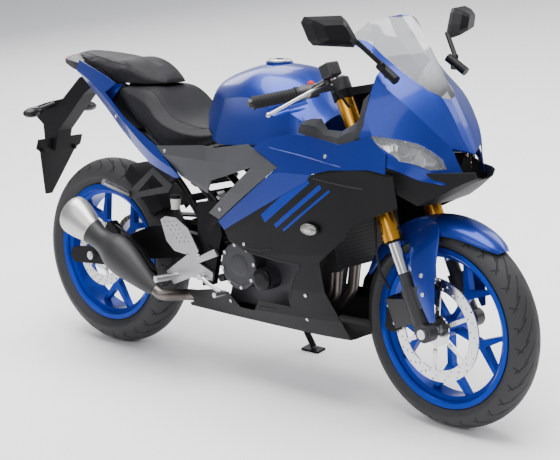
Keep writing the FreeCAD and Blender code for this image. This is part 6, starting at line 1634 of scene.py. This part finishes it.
# Raised beads on the side panels: node, half width and (x, z) points of each
BEADS = (("lower_fairings", 0.0024, ((0.690, 0.478), (0.712, 0.469), (0.750, 0.461),
                                     (0.838, 0.461), (0.884, 0.473))),
         ("lower_fairings", 0.0022, ((0.800, 0.448), (0.900, 0.440), (0.992, 0.440))),
         ("lower_fairings", 0.0022, ((0.992, 0.438), (0.966, 0.402), (0.930, 0.328))),
         ("lower_fairings", 0.0018, ((1.060, 0.700), (1.180, 0.690), (1.230, 0.688))),
         ("shoulder_panels", 0.0020, ((0.876, 0.768), (0.998, 0.758), (1.160, 0.742))),
         ("belly_pan", 0.0020, ((0.700, 0.270), (0.760, 0.274), (0.860, 0.282))))


class SPORTBIKE_OT_beads(bpy.types.Operator):
    """Lays the raised beads of the side panels"""
    bl_idname = "sportbike.beads"
    bl_label = "Panel beads"

    def execute(self, context):
        F = FINISHES
        for number, (node, half, points) in enumerate(BEADS):
            finish, slot = F["bead"], "black_plastic"
            if node == "shoulder_panels":
                finish, slot = F["paint"], "blue_plastic"
            for side, tag in SIDES:
                places = laid(node, points, side)
                if len(places) > 3:
                    hose("bead_%d_%s" % (number, tag), places, half, "chassis", finish)
        return {"FINISHED"}


# Panel bolts: node, and (x, z) on its side
PANEL_BOLTS = (("side_covers", 0.662, 0.560), ("side_covers", 0.420, 0.712),
               ("tail_panels", 0.150, 0.792), ("shoulder_panels", 1.100, 0.765),
               ("lower_fairings", 0.770, 0.470), ("lower_fairings", 1.000, 0.350),
               ("belly_pan", 0.660, 0.270), ("belly_pan", 0.980, 0.270))


class SPORTBIKE_OT_bolts(bpy.types.Operator):
    """Sets panel bolts on the surfaces that carry them"""
    bl_idname = "sportbike.bolts"
    bl_label = "Bolts"

    def execute(self, context):
        s = sizes()
        spots = [facing(*landing(node, x, z, side)) for node, x, z in PANEL_BOLTS
                 for side in (-1, 1)]
        bolts = copies(button_bolt(s.bolt_radius, s.bolt_height), spots, "panel_bolts")
        finished(bolts, "panel_bolts", "chassis", FINISHES["bolt"])
        return {"FINISHED"}


OPERATORS = (SPORTBIKE_OT_stage, SPORTBIKE_OT_finishes, SPORTBIKE_OT_seats, SPORTBIKE_OT_seams,
             SPORTBIKE_OT_lamps, SPORTBIKE_OT_controls, SPORTBIKE_OT_covers, SPORTBIKE_OT_tail,
             SPORTBIKE_OT_fender, SPORTBIKE_OT_beads, SPORTBIKE_OT_bolts)


class SPORTBIKE_PT_panel(bpy.types.Panel):
    """Lists the sport bike's sizes and operators"""
    bl_idname = "SPORTBIKE_PT_panel"
    bl_label = "Sport bike"
    bl_space_type = "VIEW_3D"
    bl_region_type = "UI"
    bl_category = "Sport bike"

    def draw(self, context):
        for name in SportBikeSizes.__annotations__:
            self.layout.prop(context.scene.sport_bike_sizes, name)
        for operator in OPERATORS:
            self.layout.operator(operator.bl_idname)


CLASSES = (SportBikeSizes,) + OPERATORS + (SPORTBIKE_PT_panel,)


def register():
    """Adds the sizes, operators and panel to Blender."""
    for item in CLASSES:
        bpy.utils.register_class(item)
    bpy.types.Scene.sport_bike_sizes = PointerProperty(type=SportBikeSizes)


def unregister():
    """Takes them out again."""
    del bpy.types.Scene.sport_bike_sizes
    for item in reversed(CLASSES):
        bpy.utils.unregister_class(item)


def main():
    register()
    for operator in OPERATORS:
        group, name = operator.bl_idname.split(".")
        getattr(getattr(bpy.ops, group), name)()


if __name__ == "__main__":
    main()
